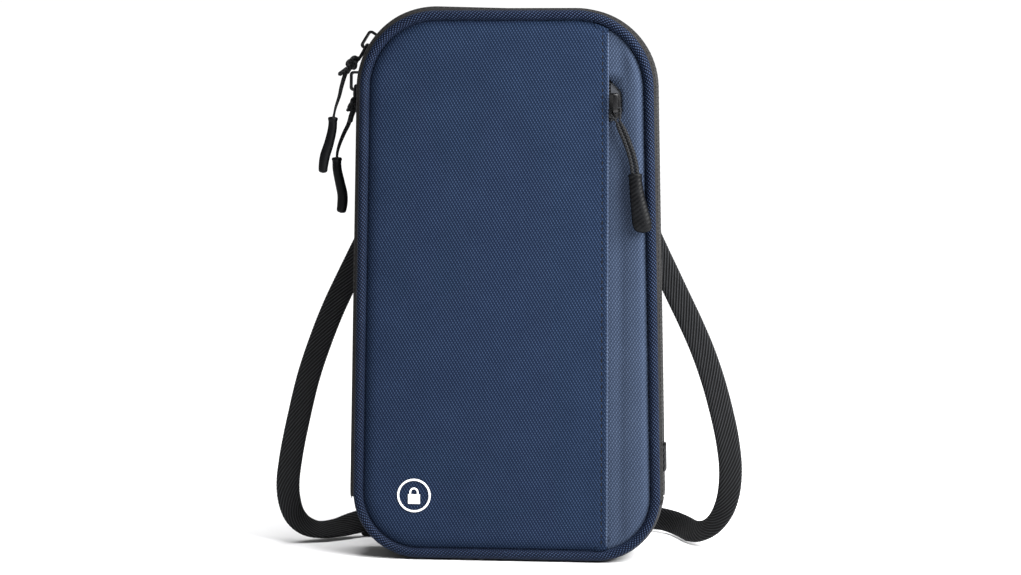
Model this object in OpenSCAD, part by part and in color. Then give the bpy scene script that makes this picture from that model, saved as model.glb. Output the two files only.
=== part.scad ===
// Neck pouch wallet: a slim zip-round travel pouch that stands on its base.
// The front face looks towards -Y, the top is at +Z, and the origin is the middle of the base.
// A zip runs up the left side, over the top and down the right side. The front cover swings
// down about the piping along its bottom edge. A webbing neck strap hangs behind the pouch.

/* [Pouch] */
// Height of the pouch
body_h = 228.5; // [224:0.5:232]
// Width across the top corners
top_w = 122.6; // [120:0.2:124]
// Width across the bottom corners
bottom_w = 129.6; // [128:0.2:132]
// Depth over the front and back panels
body_d = 31; // [31:0.5:34]
// Radius of the top corners
top_r = 33; // [30:1:36]
// Radius of the bottom corners
bottom_r = 28; // [26:1:30]
// Diameter of the piping
piping_d = 3.8; // [3.2:0.2:4]

/* [Front pocket] */
// Place of the flap's free edge, right of the middle
flap_x = 42; // [41.6:0.1:42.4]
// Height of the pocket slider's middle
pocket_slider_z = 189; // [186:1:190]
// Lower end of the pocket zip
pocket_low_z = 38; // [34:1:40]
// Upper end of the pocket zip
pocket_top_z = 198; // [197:1:200]

/* [Main zip] */
// Height at which the zip tapes end in the bottom corners
zip_end_z = 24; // [22:1:26]
// Angle of the upper slider round the top left corner
upper_slider_turn = 32; // [30:1:34]
// Length of a slider
slider_l = 10; // [9:0.5:10]
// Width of a slider
slider_w = 8; // [7:0.5:8.4]

/* [Neck strap] */
// Width of the webbing
strap_w = 10; // [9:0.5:10]
// Thickness of the webbing
strap_t = 1.5; // [1.2:0.1:1.5]
// Distance between neighbouring runs
hank_pitch = 3.9; // [3.8:0.1:4]
// Half length of the hank
hank_half = 54.8; // [52:0.1:54.8]

/* [Hidden] */

navy = [0.13, 0.18, 0.29];
pale_navy = [0.24, 0.30, 0.40];
black = [0.07, 0.07, 0.08];
charcoal = [0.17, 0.17, 0.18];
grey = [0.42, 0.43, 0.45];

// Depths, from the middle plane of the pouch
half_d = body_d / 2;
panel_t = 3.1;
piping_r = piping_d / 2;
piping_y = half_d - piping_r;
piping_in = 2.7;                 // piping centre, in from the outer outline
panel_in = 5;                    // panel edge, in from the outer outline
board_in = 5.4;
clear = 0.3;

// Front cover layers, front to back
flap_t = 1;
flap_overhang = 6;               // width of the flap that lies free over the zip
front_face = -half_d;
panel_back = front_face + panel_t;
pocket_wall_front = panel_back + 2.2;
pocket_wall_t = 0.4;
board_t = 1.8;
foil_t = 0.2;
lining_t = 0.6;
front_board_y = pocket_wall_front + pocket_wall_t;
front_foil_y = front_board_y + board_t;
front_lining_y = front_foil_y + foil_t;
sleeve_y = front_lining_y + lining_t;

// Back layers, back to front
back_board_y = half_d - panel_t + clear;
back_foil_y = back_board_y - board_t;
back_lining_y = back_foil_y - foil_t;
slot_back_y = back_lining_y - lining_t;
slot_t = 0.6;
slot_low_z = 14;
slot_half_w = 50;

// Main zip, in the middle plane
tape_out = 0.5;
tape_in = 1.2;
row_out = -0.2;
row_in = 1.5;
row_gap = 0.55;                  // half the gap that the slider's post runs in
row_edge = 3.9;                  // past the slider's bottom plate
gusset_front = -(piping_y - piping_r - 0.4);
gusset_back = piping_y - piping_r;
gusset_t = 1.4;

// Slider
plate_t = 0.9;
plate_out = 0.6;                 // inner face of the top plate, out from the outline
under_in = 2.2;                  // outer face of the bottom plate, in from the outline
under_l = 7;
under_t = 0.8;
pocket_under_in = 1.4;
post_w = 0.5;
bridge_l = 8.3;
bridge_h = 4;
bridge_bar = 1.1;
bridge_w = 1.8;
bridge_up = 0.9;                 // the bridge sits this far above the slider's middle
cross_r = 0.58;                  // cord where it passes through the bridge
strand_out = 1.8;                // half the width of the cord's loop beside the bridge
past_bridge = 2.8;               // from the pivot to where the loop narrows, clear of the bridge

// Pocket zip
chain_x = flap_x - 1.5;
pocket_tape_y = panel_back;
pocket_tape_t = 0.5;
tape_w = 7.1;
pocket_row_gap = 0.6;
pocket_row_w = 1.8;
pocket_bridge_x = 4.7;           // the pocket slider's bridge, right of its chain
pocket_plate_extra = 2.4;        // the pocket slider's plate is wider on the right by this
strip_y = front_face + 2.5;      // face of the strip beside the zip
strip_t = 0.6;
strip_x = chain_x + pocket_row_gap + pocket_row_w + 0.5;
strip_pad_x = flap_x + 6.2;
strip_pad_y = front_face + 0.9;

// Outline of the pouch, seen from the front
top_cx = top_w / 2 - top_r;
top_cz = body_h - top_r;
bottom_cx = bottom_w / 2 - bottom_r;
bottom_cz = bottom_r;
side_lean = atan2(top_cz - bottom_cz, top_cx - bottom_cx)
    - acos((bottom_r - top_r) / norm([top_cx - bottom_cx, top_cz - bottom_cz]));
corner_steps = 14;

function arc(cx, cz, r, from, to) =
    [for (i = [0 : corner_steps])
        let (a = from + (to - from) * i / corner_steps)
        [cx + r * cos(a), cz + r * sin(a)]];

// The outline moved inwards by d
function outline(d) = concat(
    arc(bottom_cx, bottom_cz, bottom_r - d, -90, side_lean),
    arc(top_cx, top_cz, top_r - d, side_lean, 90),
    arc(-top_cx, top_cz, top_r - d, 90, 180 - side_lean),
    arc(-bottom_cx, bottom_cz, bottom_r - d, 180 - side_lean, 270));

// Centres of the two main sliders, on the outline
lower_centre = [-top_cx - top_r * cos(side_lean), 0, top_cz + top_r * sin(side_lean) + 1.5];
upper_centre = [-top_cx - top_r * cos(upper_slider_turn), 0,
    top_cz + top_r * sin(upper_slider_turn)];
pocket_centre = [chain_x, strip_y - clear + plate_out, pocket_slider_z];

// Where each pull's cord passes through its bridge
pivot_out = plate_out + plate_t + (bridge_h - bridge_bar) / 2;
pivot_down = bridge_l / 2 - bridge_bar - 0.9 - bridge_up;
function left_pivot(centre, turn) = centre
    + pivot_out * [-cos(turn), 0, sin(turn)] - pivot_down * [sin(turn), 0, cos(turn)];
lower_pivot = left_pivot(lower_centre, side_lean);
upper_pivot = left_pivot(upper_centre, upper_slider_turn);
pocket_pivot = pocket_centre + [pocket_bridge_x, -pivot_out, -pivot_down];

// Pull cords: x, y, z and radius at each point, from the bridge down to the grip
lower_cord = [
    [-64.9, 0.8, 192.2, 1.1], [-65.2, 0.8, 190.8, 2.2], [-65.6, 1, 188, 2.5],
    [-66.3, 1.2, 184.6, 2.1], [-67.2, 1.6, 182, 1.1], [-69.6, 2.2, 177.6, 0.8],
    [-71.8, 2.4, 172, 0.8], [-72.7, 2.4, 168.6, 0.8], [-72.9, 2.4, 166.6, 0.9]];
upper_cord = [
    [-62, -0.8, 208.4, 1.3], [-63.2, -1.2, 207.7, 2], [-65, -1.9, 206.4, 2.1],
    [-66.5, -2.6, 204.8, 1.6], [-67.6, -3.2, 202.8, 0.9], [-69.2, -4, 198.4, 0.8],
    [-70.6, -4.2, 193, 0.8], [-72.2, -4.2, 187.6, 0.8], [-73.3, -4.2, 183.6, 0.9]];
pocket_cord = [
    [46.2, -16.4, 182.6], [47.6, -17, 179.6], [49.8, -17.4, 174.6],
    [51.6, -17.7, 169.6], [52.8, -17.9, 164.8], [53.3, -18, 161.4]];
// Moulded grips: x, y, z, half width and half thickness
lower_grip = [
    [-72.9, 2.4, 166.6, 1.9, 1.7], [-72.7, 2.4, 162, 2.1, 1.8], [-71.6, 2.4, 156, 2.2, 1.8],
    [-70.6, 2.4, 151, 2.3, 1.8], [-70.8, 2.4, 147, 2.3, 1.8], [-71.4, 2.4, 144.2, 1.5, 1.3]];
upper_grip = [
    [-73.3, -4.2, 183.6, 1.8, 1.7], [-73.6, -4.2, 179, 2, 1.8], [-75, -4.2, 173, 2.1, 1.8],
    [-76.8, -4.2, 167.4, 2.2, 1.8], [-77.5, -4.2, 163.4, 2.1, 1.8], [-77.7, -4.2, 161, 1.4, 1.3]];
pocket_grip = [
    [53.3, -18, 161.4, 2.7, 1.7], [53.6, -18, 157, 2.9, 2], [54.4, -18, 151, 3.2, 2.1],
    [55.4, -18, 145.4, 3.7, 2.1], [56.2, -18, 141, 4, 2.1], [56.6, -18, 138.6, 3.2, 1.8],
    [56.7, -18, 137.4, 1.6, 1.2]];

// Neck strap: x, y, z and roll of the webbing about its own length
strap_left_route = [
    [-57, 16.9, 143, 0], [-63, 17, 131, 0], [-70, 17, 117, 0], [-77, 17, 102.5, 0],
    [-82.5, 17, 89, 0], [-88, 17, 73, 0], [-92.5, 17, 55, 2], [-96, 17, 38, 8],
    [-97.5, 17.2, 26, 15], [-97, 17.8, 18.5, 25], [-95, 19, 12, 38], [-91, 21, 7.4, 50],
    [-85, 24, 5, 58], [-78, 29, 5, 48], [-72, 34, 6.2, 24], [-66, 36.8, 7.4, 6],
    [-60, 37.8, 7.4, 0], [-54.8, 38, 6.4, 0]];
strap_right_route = [
    [53, 16.9, 143, 0], [58, 17, 132.3, 0], [63.5, 17, 121, 0], [69, 17, 109.5, 0],
    [75, 17, 97, 0], [80, 17, 85.5, 0], [84.4, 17, 73, 0], [88, 17, 60, 0],
    [90.6, 17, 48, -4], [92, 17.3, 36, -10], [91.5, 18, 26, -18], [89.4, 19.5, 18, -30],
    [85.6, 22.5, 11.5, -42], [80.4, 28, 7, -50], [75.6, 36, 5.2, -42], [71.4, 46, 5.2, -26],
    [66.4, 54.6, 5.6, -10], [60.6, 60, 6, 0], [54.8, 61.4, 6, 0]];
ring_height = 143;
ring_left_x = -57;
ring_right_x = 53;
ring_lean = 26;                  // the strap leaves each ring at this angle from upright
ring_y = 16.9;
hank_runs = 7;
hank_y = 38;
hank_z = 6;
adjuster_place = [-62, 37.5, 7.5];

// Vectors
function unit(v) = v / norm(v);
function across(v, t) = unit(v - (v * t) * t);
function last(list) = len(list) - 1;
function tangent(p, i) = unit(p[min(i + 1, last(p))] - p[max(i - 1, 0)]);
function xyz(list) = [for (p = list) [p[0], p[1], p[2]]];

// A solid swept through points, with an oval section: half_a along each normal, half_b across
module sweep(points, normals, half_a, half_b, sides, closed = false) {
    n = len(points);
    tangents = [for (i = [0 : n - 1])
        closed ? unit(points[(i + 1) % n] - points[(i + n - 1) % n]) : tangent(points, i)];
    vertices = [for (i = [0 : n - 1])
        let (side = cross(tangents[i], normals[i]))
        for (k = [0 : sides - 1])
            points[i] + half_a[i] * cos(360 * k / sides) * normals[i]
                + half_b[i] * sin(360 * k / sides) * side];
    walls = [for (i = [0 : closed ? n - 1 : n - 2])
        for (k = [0 : sides - 1])
            let (j = (i + 1) % n, m = (k + 1) % sides)
            [i * sides + k, j * sides + k, j * sides + m, i * sides + m]];
    ends = closed ? [] : [
        [for (k = [0 : sides - 1]) k],
        [for (k = [0 : sides - 1]) n * sides - 1 - k]];
    polyhedron(points = vertices, faces = concat(walls, ends), convexity = 6);
}

// A round cord through points that carry their radius
module cord(list) {
    for (i = [1 : last(list)])
        hull()
            for (q = [list[i - 1], list[i]])
                translate([q[0], q[1], q[2]]) sphere(q[3], $fn = 10);
}

// A moulded grip through points that carry a half width and a half thickness
module grip(list) {
    p = xyz(list);
    normals = [for (i = [0 : last(p)]) across([0, -1, 0], tangent(p, i))];
    sweep(p, normals, [for (q = list) q[4]], [for (q = list) q[3]], 10);
}

// Webbing through points that carry a roll
module webbing(route) {
    p = xyz(route);
    normals = [for (i = [0 : last(p)])
        let (t = tangent(p, i), face = across([0, -1, 0], t), edge = cross(t, face))
        face * cos(route[i][3]) - edge * sin(route[i][3])];
    halves = [for (q = route) 1];
    sweep(p, normals, halves * strap_t / 2, halves * strap_w / 2, 8);
}

// A front-view outline given thickness from front to back
module slab(front, back) {
    translate([0, back, 0]) rotate([90, 0, 0]) linear_extrude(back - front) children();
}

// A wall that follows the pouch's outline
module band(out, in, front, back) {
    slab(front, back) difference() {
        polygon(outline(out));
        polygon(outline(in));
    }
}

// Everything above or below a height
module above(z) {
    translate([-body_h, -body_h / 2, z]) cube([2 * body_h, body_h, 2 * body_h]);
}
module below(z) {
    translate([-body_h, -body_h / 2, z - body_h]) cube([2 * body_h, body_h, body_h]);
}

module piping(y) {
    ring = [for (p = outline(piping_in)) [p[0], y, p[1]]];
    distinct = [for (i = [0 : last(ring)])
        if (norm(ring[i] - ring[(i + 1) % len(ring)]) > 0.01) ring[i]];
    sizes = [for (p = distinct) piping_r];
    sweep(distinct, [for (p = distinct) [0, -1, 0]], sizes, sizes, 10, closed = true);
}

module rounded_plate(w, l, r) {
    translate([r, 0]) square([w - 2 * r, l]);
    translate([0, r]) square([w, l - 2 * r]);
    for (x = [r, w - r])
        for (z = [r, l - r])
            translate([x, z]) circle(r, $fn = 24);
}

// A slider in its own frame: +X is out of the pouch, +Z is along the zip
module slider(bridge_y = 0, wide = slider_w, shift = 0, under = under_in) {
    translate([plate_out, shift - wide / 2, -slider_l / 2])
        rotate([0, -90, 0]) mirror([0, 0, 1]) linear_extrude(plate_t)
            rounded_plate(slider_l, wide, 2);
    translate([-under - under_t, -slider_w / 2 + 0.5, -under_l / 2])
        cube([under_t, slider_w - 1, under_l]);
    translate([-under, -post_w / 2, under_l / 2 - 2.4])
        cube([under + plate_out, post_w, 2.4]);
    translate([plate_out + plate_t, bridge_y + bridge_w / 2, bridge_up - bridge_l / 2])
        rotate([90, 0, 0]) linear_extrude(bridge_w) difference() {
            bridge_shape(bridge_h, bridge_l, 1.6);
            translate([0, bridge_bar])
                bridge_shape(bridge_h - bridge_bar, bridge_l - 2 * bridge_bar, 0.8);
        }
}

// Half of a rounded rectangle, flat where it joins the slider
module bridge_shape(h, l, r) {
    square([h - r, l]);
    translate([0, r]) square([h, l - 2 * r]);
    for (z = [r, l - r]) translate([h - r, z]) circle(r, $fn = 24);
}

// The cord's loop: up from the knot, through the bridge along an axis, and back to the knot
module loop_through(pivot, axis, target) {
    near = 0.9 * cross_r * axis;
    turn = strand_out * axis;
    below = pivot + past_bridge * across(target - pivot, axis);
    loop = [target - near, below - turn, pivot - turn, pivot + turn, below + turn, target + near];
    cord([for (p = loop) [p[0], p[1], p[2], cross_r]]);
}

// Left side: out of the pouch is towards -X
module on_left(centre, turn) {
    translate(centre) rotate([0, turn, 0]) mirror([1, 0, 0]) children();
}

/* ---- Back half ---- */
module back_panel() {
    color(navy) slab(half_d - panel_t + clear, half_d) polygon(outline(panel_in));
}
module back_foam_board() {
    color(grey) slab(back_foil_y, back_board_y) polygon(outline(board_in));
}
module back_rfid_foil() {
    color("silver") slab(back_lining_y, back_foil_y) polygon(outline(board_in));
}
module back_lining() {
    color(charcoal) slab(slot_back_y, back_lining_y) polygon(outline(board_in));
}
module back_piping() { color(navy) piping(piping_y); }
module back_zip_tape() {
    color(charcoal) intersection() {
        band(tape_out, tape_in, row_edge, gusset_back);
        above(zip_end_z);
    }
}
module back_zip_teeth() {
    color(black) intersection() {
        band(row_out, row_in, row_gap, row_edge);
        above(zip_end_z);
    }
}
module bottom_gusset() {
    color(charcoal) intersection() {
        band(0, gusset_t, gusset_front, gusset_back);
        below(zip_end_z);
    }
}

// Covers the end of the zip, and is sewn to the back tape
module zip_end_tab(side) {
    color(black) intersection() {
        union() {
            band(-1.2, -0.5, -6, 6);
            band(-0.5, tape_out, row_edge + 0.1, 6.6);
        }
        translate([side > 0 ? 0 : -body_h, -20, 37]) cube([body_h, 40, 11]);
    }
}
module zip_end_tab_left() { zip_end_tab(-1); }
module zip_end_tab_right() { zip_end_tab(1); }

// Three card slots, each a little shorter than the one behind it
module card_slot(number, top) {
    color(charcoal) slab(slot_back_y - slot_t * number, slot_back_y - slot_t * (number - 1))
        translate([-slot_half_w, slot_low_z])
            rounded_plate(2 * slot_half_w, top - slot_low_z, 3);
}
module card_slot_upper() { card_slot(1, 110); }
module card_slot_middle() { card_slot(2, 88); }
module card_slot_lower() { card_slot(3, 66); }
module pen_loop() {
    color(black) translate([36, slot_back_y - 4, 150]) linear_extrude(20) difference() {
        rounded_plate(14, 4, 1.5);
        translate([1, 1]) rounded_plate(12, 2, 0.9);
    }
}

/* ---- Neck strap ---- */
module strap_ring(x, lean) {
    color(black) translate([x, ring_y, ring_height]) rotate([0, lean, 0])
        slab(-0.9, 0.9) translate([-7.2, -0.8]) difference() {
            rounded_plate(14.4, 8.6, 2.4);
            translate([1.8, 1.8]) rounded_plate(10.8, 5, 1.2);
        }
}
module strap_ring_left() { strap_ring(ring_left_x, ring_lean); }
module strap_ring_right() { strap_ring(ring_right_x, -ring_lean); }
module strap_anchor(x, lean) {
    color(black) translate([x, half_d, ring_height]) rotate([0, lean, 0])
        slab(0, 2.4) translate([-strap_w / 2, 6.6]) square([strap_w, 16]);
}
module strap_anchor_left() { strap_anchor(ring_left_x, ring_lean); }
module strap_anchor_right() { strap_anchor(ring_right_x, -ring_lean); }
module strap_left() { color(black) webbing(strap_left_route); }
module strap_right() { color(black) webbing(strap_right_route); }

// The length of strap that is put away, folded to and fro behind the pouch
hank_d = (hank_runs - 1) * hank_pitch + strap_t + 0.6;
module strap_hank() {
    color(black) translate([-hank_half, hank_y - strap_t / 2 - 0.3, hank_z - strap_w / 2])
        linear_extrude(strap_w) rounded_plate(2 * hank_half, hank_d, 0.6);
}
module hank_tie() {
    color(charcoal) translate([5, hank_y - strap_t / 2 - 0.3, 0.1]) rotate([90, 0, -90])
        linear_extrude(10) translate([-hank_d - 0.9, 0]) difference() {
            rounded_plate(hank_d + 1.8, strap_w + 1.8, 0.9);
            translate([0.9, 0.9]) square([hank_d, strap_w]);
        }
}
module strap_adjuster() {
    color(black) translate(adjuster_place) rotate([0, 0, 8]) slab(-1.3, 1.3) difference() {
        translate([-7, -7.4]) rounded_plate(14, 14.8, 2);
        for (x = [-4.6, 1.4]) translate([x, -5.4]) square([3.2, 10.8]);
    }
}

/* ---- Front cover ---- */
// The main panel, whose right edge is a free flap over the pocket zip
module front_panel() {
    color(navy) union() {
        slab(front_face, panel_back) intersection() {
            polygon(outline(panel_in));
            translate([-body_h, 0]) square([body_h + flap_x - flap_overhang, body_h]);
        }
        slab(front_face, front_face + flap_t) intersection() {
            polygon(outline(panel_in));
            translate([-body_h, 0]) square([body_h + flap_x, body_h]);
        }
    }
}
// The narrow strip right of the zip, which rises to a pad beside the piping
module front_strip() {
    color(pale_navy) union() {
        slab(strip_y, strip_y + strip_t) intersection() {
            polygon(outline(panel_in));
            translate([strip_x, 0]) square([body_h, body_h]);
        }
        slab(strip_pad_y, strip_y + strip_t) intersection() {
            polygon(outline(panel_in));
            translate([strip_pad_x, 0]) square([body_h, body_h]);
        }
    }
}
module front_layer(colour, front, thick) {
    color(colour) slab(front, front + thick) polygon(outline(board_in));
}
module pocket_lining() { front_layer(charcoal, pocket_wall_front, pocket_wall_t); }
module front_foam_board() { front_layer(grey, front_board_y, board_t); }
module front_rfid_foil() { front_layer("silver", front_foil_y, foil_t); }
module front_lining() { front_layer(charcoal, front_lining_y, lining_t); }
module front_piping() { color(navy) piping(-piping_y); }
module front_zip_tape() {
    color(charcoal) intersection() {
        band(tape_out, tape_in, -gusset_back, -row_edge);
        above(zip_end_z + 0.4);
    }
}
module front_zip_teeth() {
    color(black) intersection() {
        band(row_out, row_in, -row_edge, -row_gap);
        above(zip_end_z + 0.4);
    }
}
module pocket_zip_tape() {
    color(charcoal) slab(pocket_tape_y, pocket_tape_y + pocket_tape_t)
        for (s = [-1, 1])
            translate([chain_x + s * (pocket_row_gap + pocket_row_w + tape_w / 2) - tape_w / 2,
                pocket_low_z])
                square([tape_w, pocket_top_z - pocket_low_z]);
}
module pocket_zip_teeth() {
    color(black) slab(pocket_tape_y - 0.55, pocket_tape_y + pocket_tape_t + 0.25)
        for (s = [-1, 1])
            translate([chain_x + s * (pocket_row_gap + pocket_row_w / 2) - pocket_row_w / 2,
                pocket_low_z])
                square([pocket_row_w, pocket_top_z - pocket_low_z]);
}
module passport_sleeve() {
    color(charcoal) slab(sleeve_y, sleeve_y + lining_t)
        translate([-48, slot_low_z]) rounded_plate(96, 121, 3);
}
// A plain padlock in a ring, printed on the panel
module padlock_mark() {
    color("white") translate([-38.2, 0, 27.2]) slab(front_face - 0.12, front_face) {
        difference() {
            circle(7, $fn = 64);
            circle(6.2, $fn = 64);
        }
        translate([-2.5, -3.5]) square([5, 4]);
        translate([0, 1.4]) difference() {
            union() {
                circle(1.9, $fn = 32);
                translate([-1.9, -0.9]) square([3.8, 0.9]);
            }
            circle(1.2, $fn = 32);
            translate([-1.2, -2]) square([2.4, 2]);
        }
    }
}

/* ---- Sliders and pulls ---- */
module lower_slider() { color(black) on_left(lower_centre, side_lean) slider(); }
module lower_pull_cord() {
    color(black) {
        loop_through(lower_pivot, [0, 1, 0], xyz(lower_cord)[0]);
        cord(lower_cord);
    }
}
module lower_pull_grip() { color(black) grip(lower_grip); }
module upper_slider() { color(black) on_left(upper_centre, upper_slider_turn) slider(); }
module upper_pull_cord() {
    color(black) {
        loop_through(upper_pivot, [0, 1, 0], xyz(upper_cord)[0]);
        cord(upper_cord);
    }
}
module upper_pull_grip() { color(black) grip(upper_grip); }

// The pocket slider is wider than the main ones, so that its bridge clears the flap
module pocket_slider() {
    color(black) translate(pocket_centre) rotate([0, 0, -90])
        slider(pocket_bridge_x, slider_w + pocket_plate_extra, pocket_plate_extra / 2,
            pocket_under_in);
}
module pocket_pull_cord() {
    color(black) {
        loop_through(pocket_pivot, [1, 0, 0], pocket_cord[0]);
        for (s = [-1, 1])
            cord([for (p = pocket_cord) [p[0] + s * cross_r * 0.9, p[1], p[2], cross_r]]);
    }
}
module pocket_pull_grip() { color(black) grip(pocket_grip); }

back_panel();
back_foam_board();
back_rfid_foil();
back_lining();
back_piping();
back_zip_tape();
back_zip_teeth();
bottom_gusset();
zip_end_tab_left();
zip_end_tab_right();
card_slot_lower();
card_slot_middle();
card_slot_upper();
pen_loop();
strap_anchor_left();
strap_anchor_right();
strap_ring_left();
strap_ring_right();
strap_left();
strap_right();
strap_hank();
hank_tie();
strap_adjuster();
front_panel();
front_strip();
front_foam_board();
front_rfid_foil();
front_lining();
front_piping();
front_zip_tape();
front_zip_teeth();
pocket_lining();
pocket_zip_tape();
pocket_zip_teeth();
passport_sleeve();
padlock_mark();
lower_slider();
lower_pull_cord();
lower_pull_grip();
upper_slider();
upper_pull_cord();
upper_pull_grip();
pocket_slider();
pocket_pull_cord();
pocket_pull_grip();
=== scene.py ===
# %% [markdown]
# # A neck pouch wallet
# This lesson dresses a CAD model in cloth. The CAD model holds the true sizes and the joints. Here every
# fabric, cord and zip part is built again as it is sewn, in the same frame, so that it moves with the model.
# The front looks towards -Y, the top is at +Z, and sizes below are in millimetres until a mesh is made.

# %% The frame
import bpy, bmesh, math
import numpy as np
from mathutils import Vector, Matrix, geometry, noise


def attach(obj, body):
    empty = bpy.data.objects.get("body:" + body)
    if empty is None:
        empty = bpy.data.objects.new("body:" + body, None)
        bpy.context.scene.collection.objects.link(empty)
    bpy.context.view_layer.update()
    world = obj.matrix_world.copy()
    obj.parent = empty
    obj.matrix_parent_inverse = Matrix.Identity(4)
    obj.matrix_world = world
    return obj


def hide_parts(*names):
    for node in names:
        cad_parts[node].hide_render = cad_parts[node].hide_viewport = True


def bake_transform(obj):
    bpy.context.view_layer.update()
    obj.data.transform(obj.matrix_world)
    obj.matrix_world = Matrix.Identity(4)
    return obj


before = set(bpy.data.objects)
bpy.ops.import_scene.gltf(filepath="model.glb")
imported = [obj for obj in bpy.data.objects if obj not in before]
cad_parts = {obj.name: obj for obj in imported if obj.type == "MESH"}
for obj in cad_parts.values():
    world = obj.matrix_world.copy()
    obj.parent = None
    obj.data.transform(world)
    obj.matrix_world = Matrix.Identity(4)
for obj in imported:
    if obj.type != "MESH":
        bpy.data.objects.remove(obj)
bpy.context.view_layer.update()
MM = 0.001

# %% [markdown]
# ## The outline
# The pouch is a trapezoid with four round corners. Every seam, tape and piping follows that one outline, some
# way in from it. Moving a line or an arc inwards along its own normals keeps it a line or an arc, so one list
# of points and normals gives them all, with the same number of points in each.

# %% The outline of the pouch
HEIGHT, TOP_W, BOTTOM_W, TOP_R, BOTTOM_R = 228.5, 122.6, 129.6, 33.0, 28.0
top_cx, top_cz = TOP_W / 2 - TOP_R, HEIGHT - TOP_R
low_cx, low_cz = BOTTOM_W / 2 - BOTTOM_R, BOTTOM_R
side_lean = math.atan2(top_cz - low_cz, top_cx - low_cx) - math.acos(
    (BOTTOM_R - TOP_R) / math.hypot(top_cx - low_cx, top_cz - low_cz))


def trace_outline(spacing):
    """Points x, z from the bottom middle round to the right, with outward normals and the way walked."""
    arcs = [(low_cx, low_cz, BOTTOM_R, -math.pi / 2, side_lean),
            (top_cx, top_cz, TOP_R, side_lean, math.pi / 2),
            (-top_cx, top_cz, TOP_R, math.pi / 2, math.pi - side_lean),
            (-low_cx, low_cz, BOTTOM_R, math.pi - side_lean, 1.5 * math.pi)]
    points, normals, here = [], [], np.array([0.0, 0.0])
    for cx, cz, r, start, stop in arcs:
        begin = np.array([cx + r * math.cos(start), cz + r * math.sin(start)])
        steps = max(1, round(np.linalg.norm(begin - here) / spacing))
        for i in range(steps):
            points.append(here + (begin - here) * i / steps)
            normals.append([math.cos(start), math.sin(start)])
        steps = round(r * (stop - start) / spacing)
        for i in range(steps):
            a = start + (stop - start) * i / steps
            points.append([cx + r * math.cos(a), cz + r * math.sin(a)])
            normals.append([math.cos(a), math.sin(a)])
        here = np.array([cx + r * math.cos(stop), cz + r * math.sin(stop)])
    steps = round(abs(here[0]) / spacing)
    for i in range(steps):
        points.append(here * (1 - i / steps))
        normals.append([0.0, -1.0])
    points, normals = np.array(points), np.array(normals)
    walked = np.cumsum(np.linalg.norm(np.roll(points, -1, 0) - points, axis=1))
    return points, normals, np.concatenate([[0], walked])


seam_points, seam_normals, seam_walk = trace_outline(1.5)
print("outline:", len(seam_points), "points,", round(seam_walk[-1]), "mm round")

# %% [markdown]
# ## Mesh helpers
# Most pieces of a sewn object are sections carried along a path: a tape, a piping, a cord, a strap. So one
# helper joins rows of points into a skin, and gives it a UV map in millimetres. A weave drawn in that map has
# the same thread size on every piece, and follows the piece round its bends.

# %% From arrays to objects
def make_object(name, vertices, faces, uvs=None, material=None, smooth=True, heal=False):
    mesh = bpy.data.meshes.new(name)
    mesh.from_pydata((np.asarray(vertices) * MM).tolist(), [], [list(map(int, f)) for f in faces])
    if uvs is not None:
        layer = mesh.uv_layers.new(name="cloth")
        layer.data.foreach_set("uv", np.asarray(uvs, np.float32).ravel())
    if heal:
        work = bmesh.new()
        work.from_mesh(mesh)
        bmesh.ops.recalc_face_normals(work, faces=work.faces)
        work.to_mesh(mesh)
        work.free()
    mesh.polygons.foreach_set("use_smooth", [smooth] * len(mesh.polygons))
    mesh.update()
    piece = bpy.data.objects.new(name, mesh)
    bpy.context.scene.collection.objects.link(piece)
    if material:
        mesh.materials.append(material)
    return piece


def skin(name, rows, material, loop=False, round_=True, caps=False, walk=None):
    """Rows of points, one for each step of the path. loop joins the last row to the first."""
    rows = np.asarray(rows, float)
    n, m = rows.shape[:2]
    middle = rows.mean(1)
    if walk is None:
        ahead = np.linalg.norm(np.roll(middle, -1, 0) - middle, axis=1)
        walk = np.concatenate([[0], np.cumsum(ahead)])
    across = np.linalg.norm(np.roll(rows, -1, 1) - rows, axis=2).mean(0)
    around = np.concatenate([[0], np.cumsum(across)])
    last_i, last_j = (n if loop else n - 1), (m if round_ else m - 1)
    i, j = [g.ravel() for g in np.meshgrid(np.arange(last_i), np.arange(last_j), indexing="ij")]
    k, l = (i + 1) % n, (j + 1) % m
    faces = np.stack([i * m + j, k * m + j, k * m + l, i * m + l], 1)
    uvs = np.stack([np.stack([walk[i], around[j]], 1), np.stack([walk[i + 1], around[j]], 1),
                    np.stack([walk[i + 1], around[j + 1]], 1), np.stack([walk[i], around[j + 1]], 1)], 1)
    faces, uvs = faces.tolist(), uvs.reshape(-1, 2).tolist()
    if caps:
        for row, order in ((0, range(m)), (n - 1, range(m - 1, -1, -1))):
            faces.append([row * m + j for j in order])
            uvs += [[walk[row], around[j]] for j in order]
    return make_object(name, rows.reshape(-1, 3), faces, uvs, material, heal=True)


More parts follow.
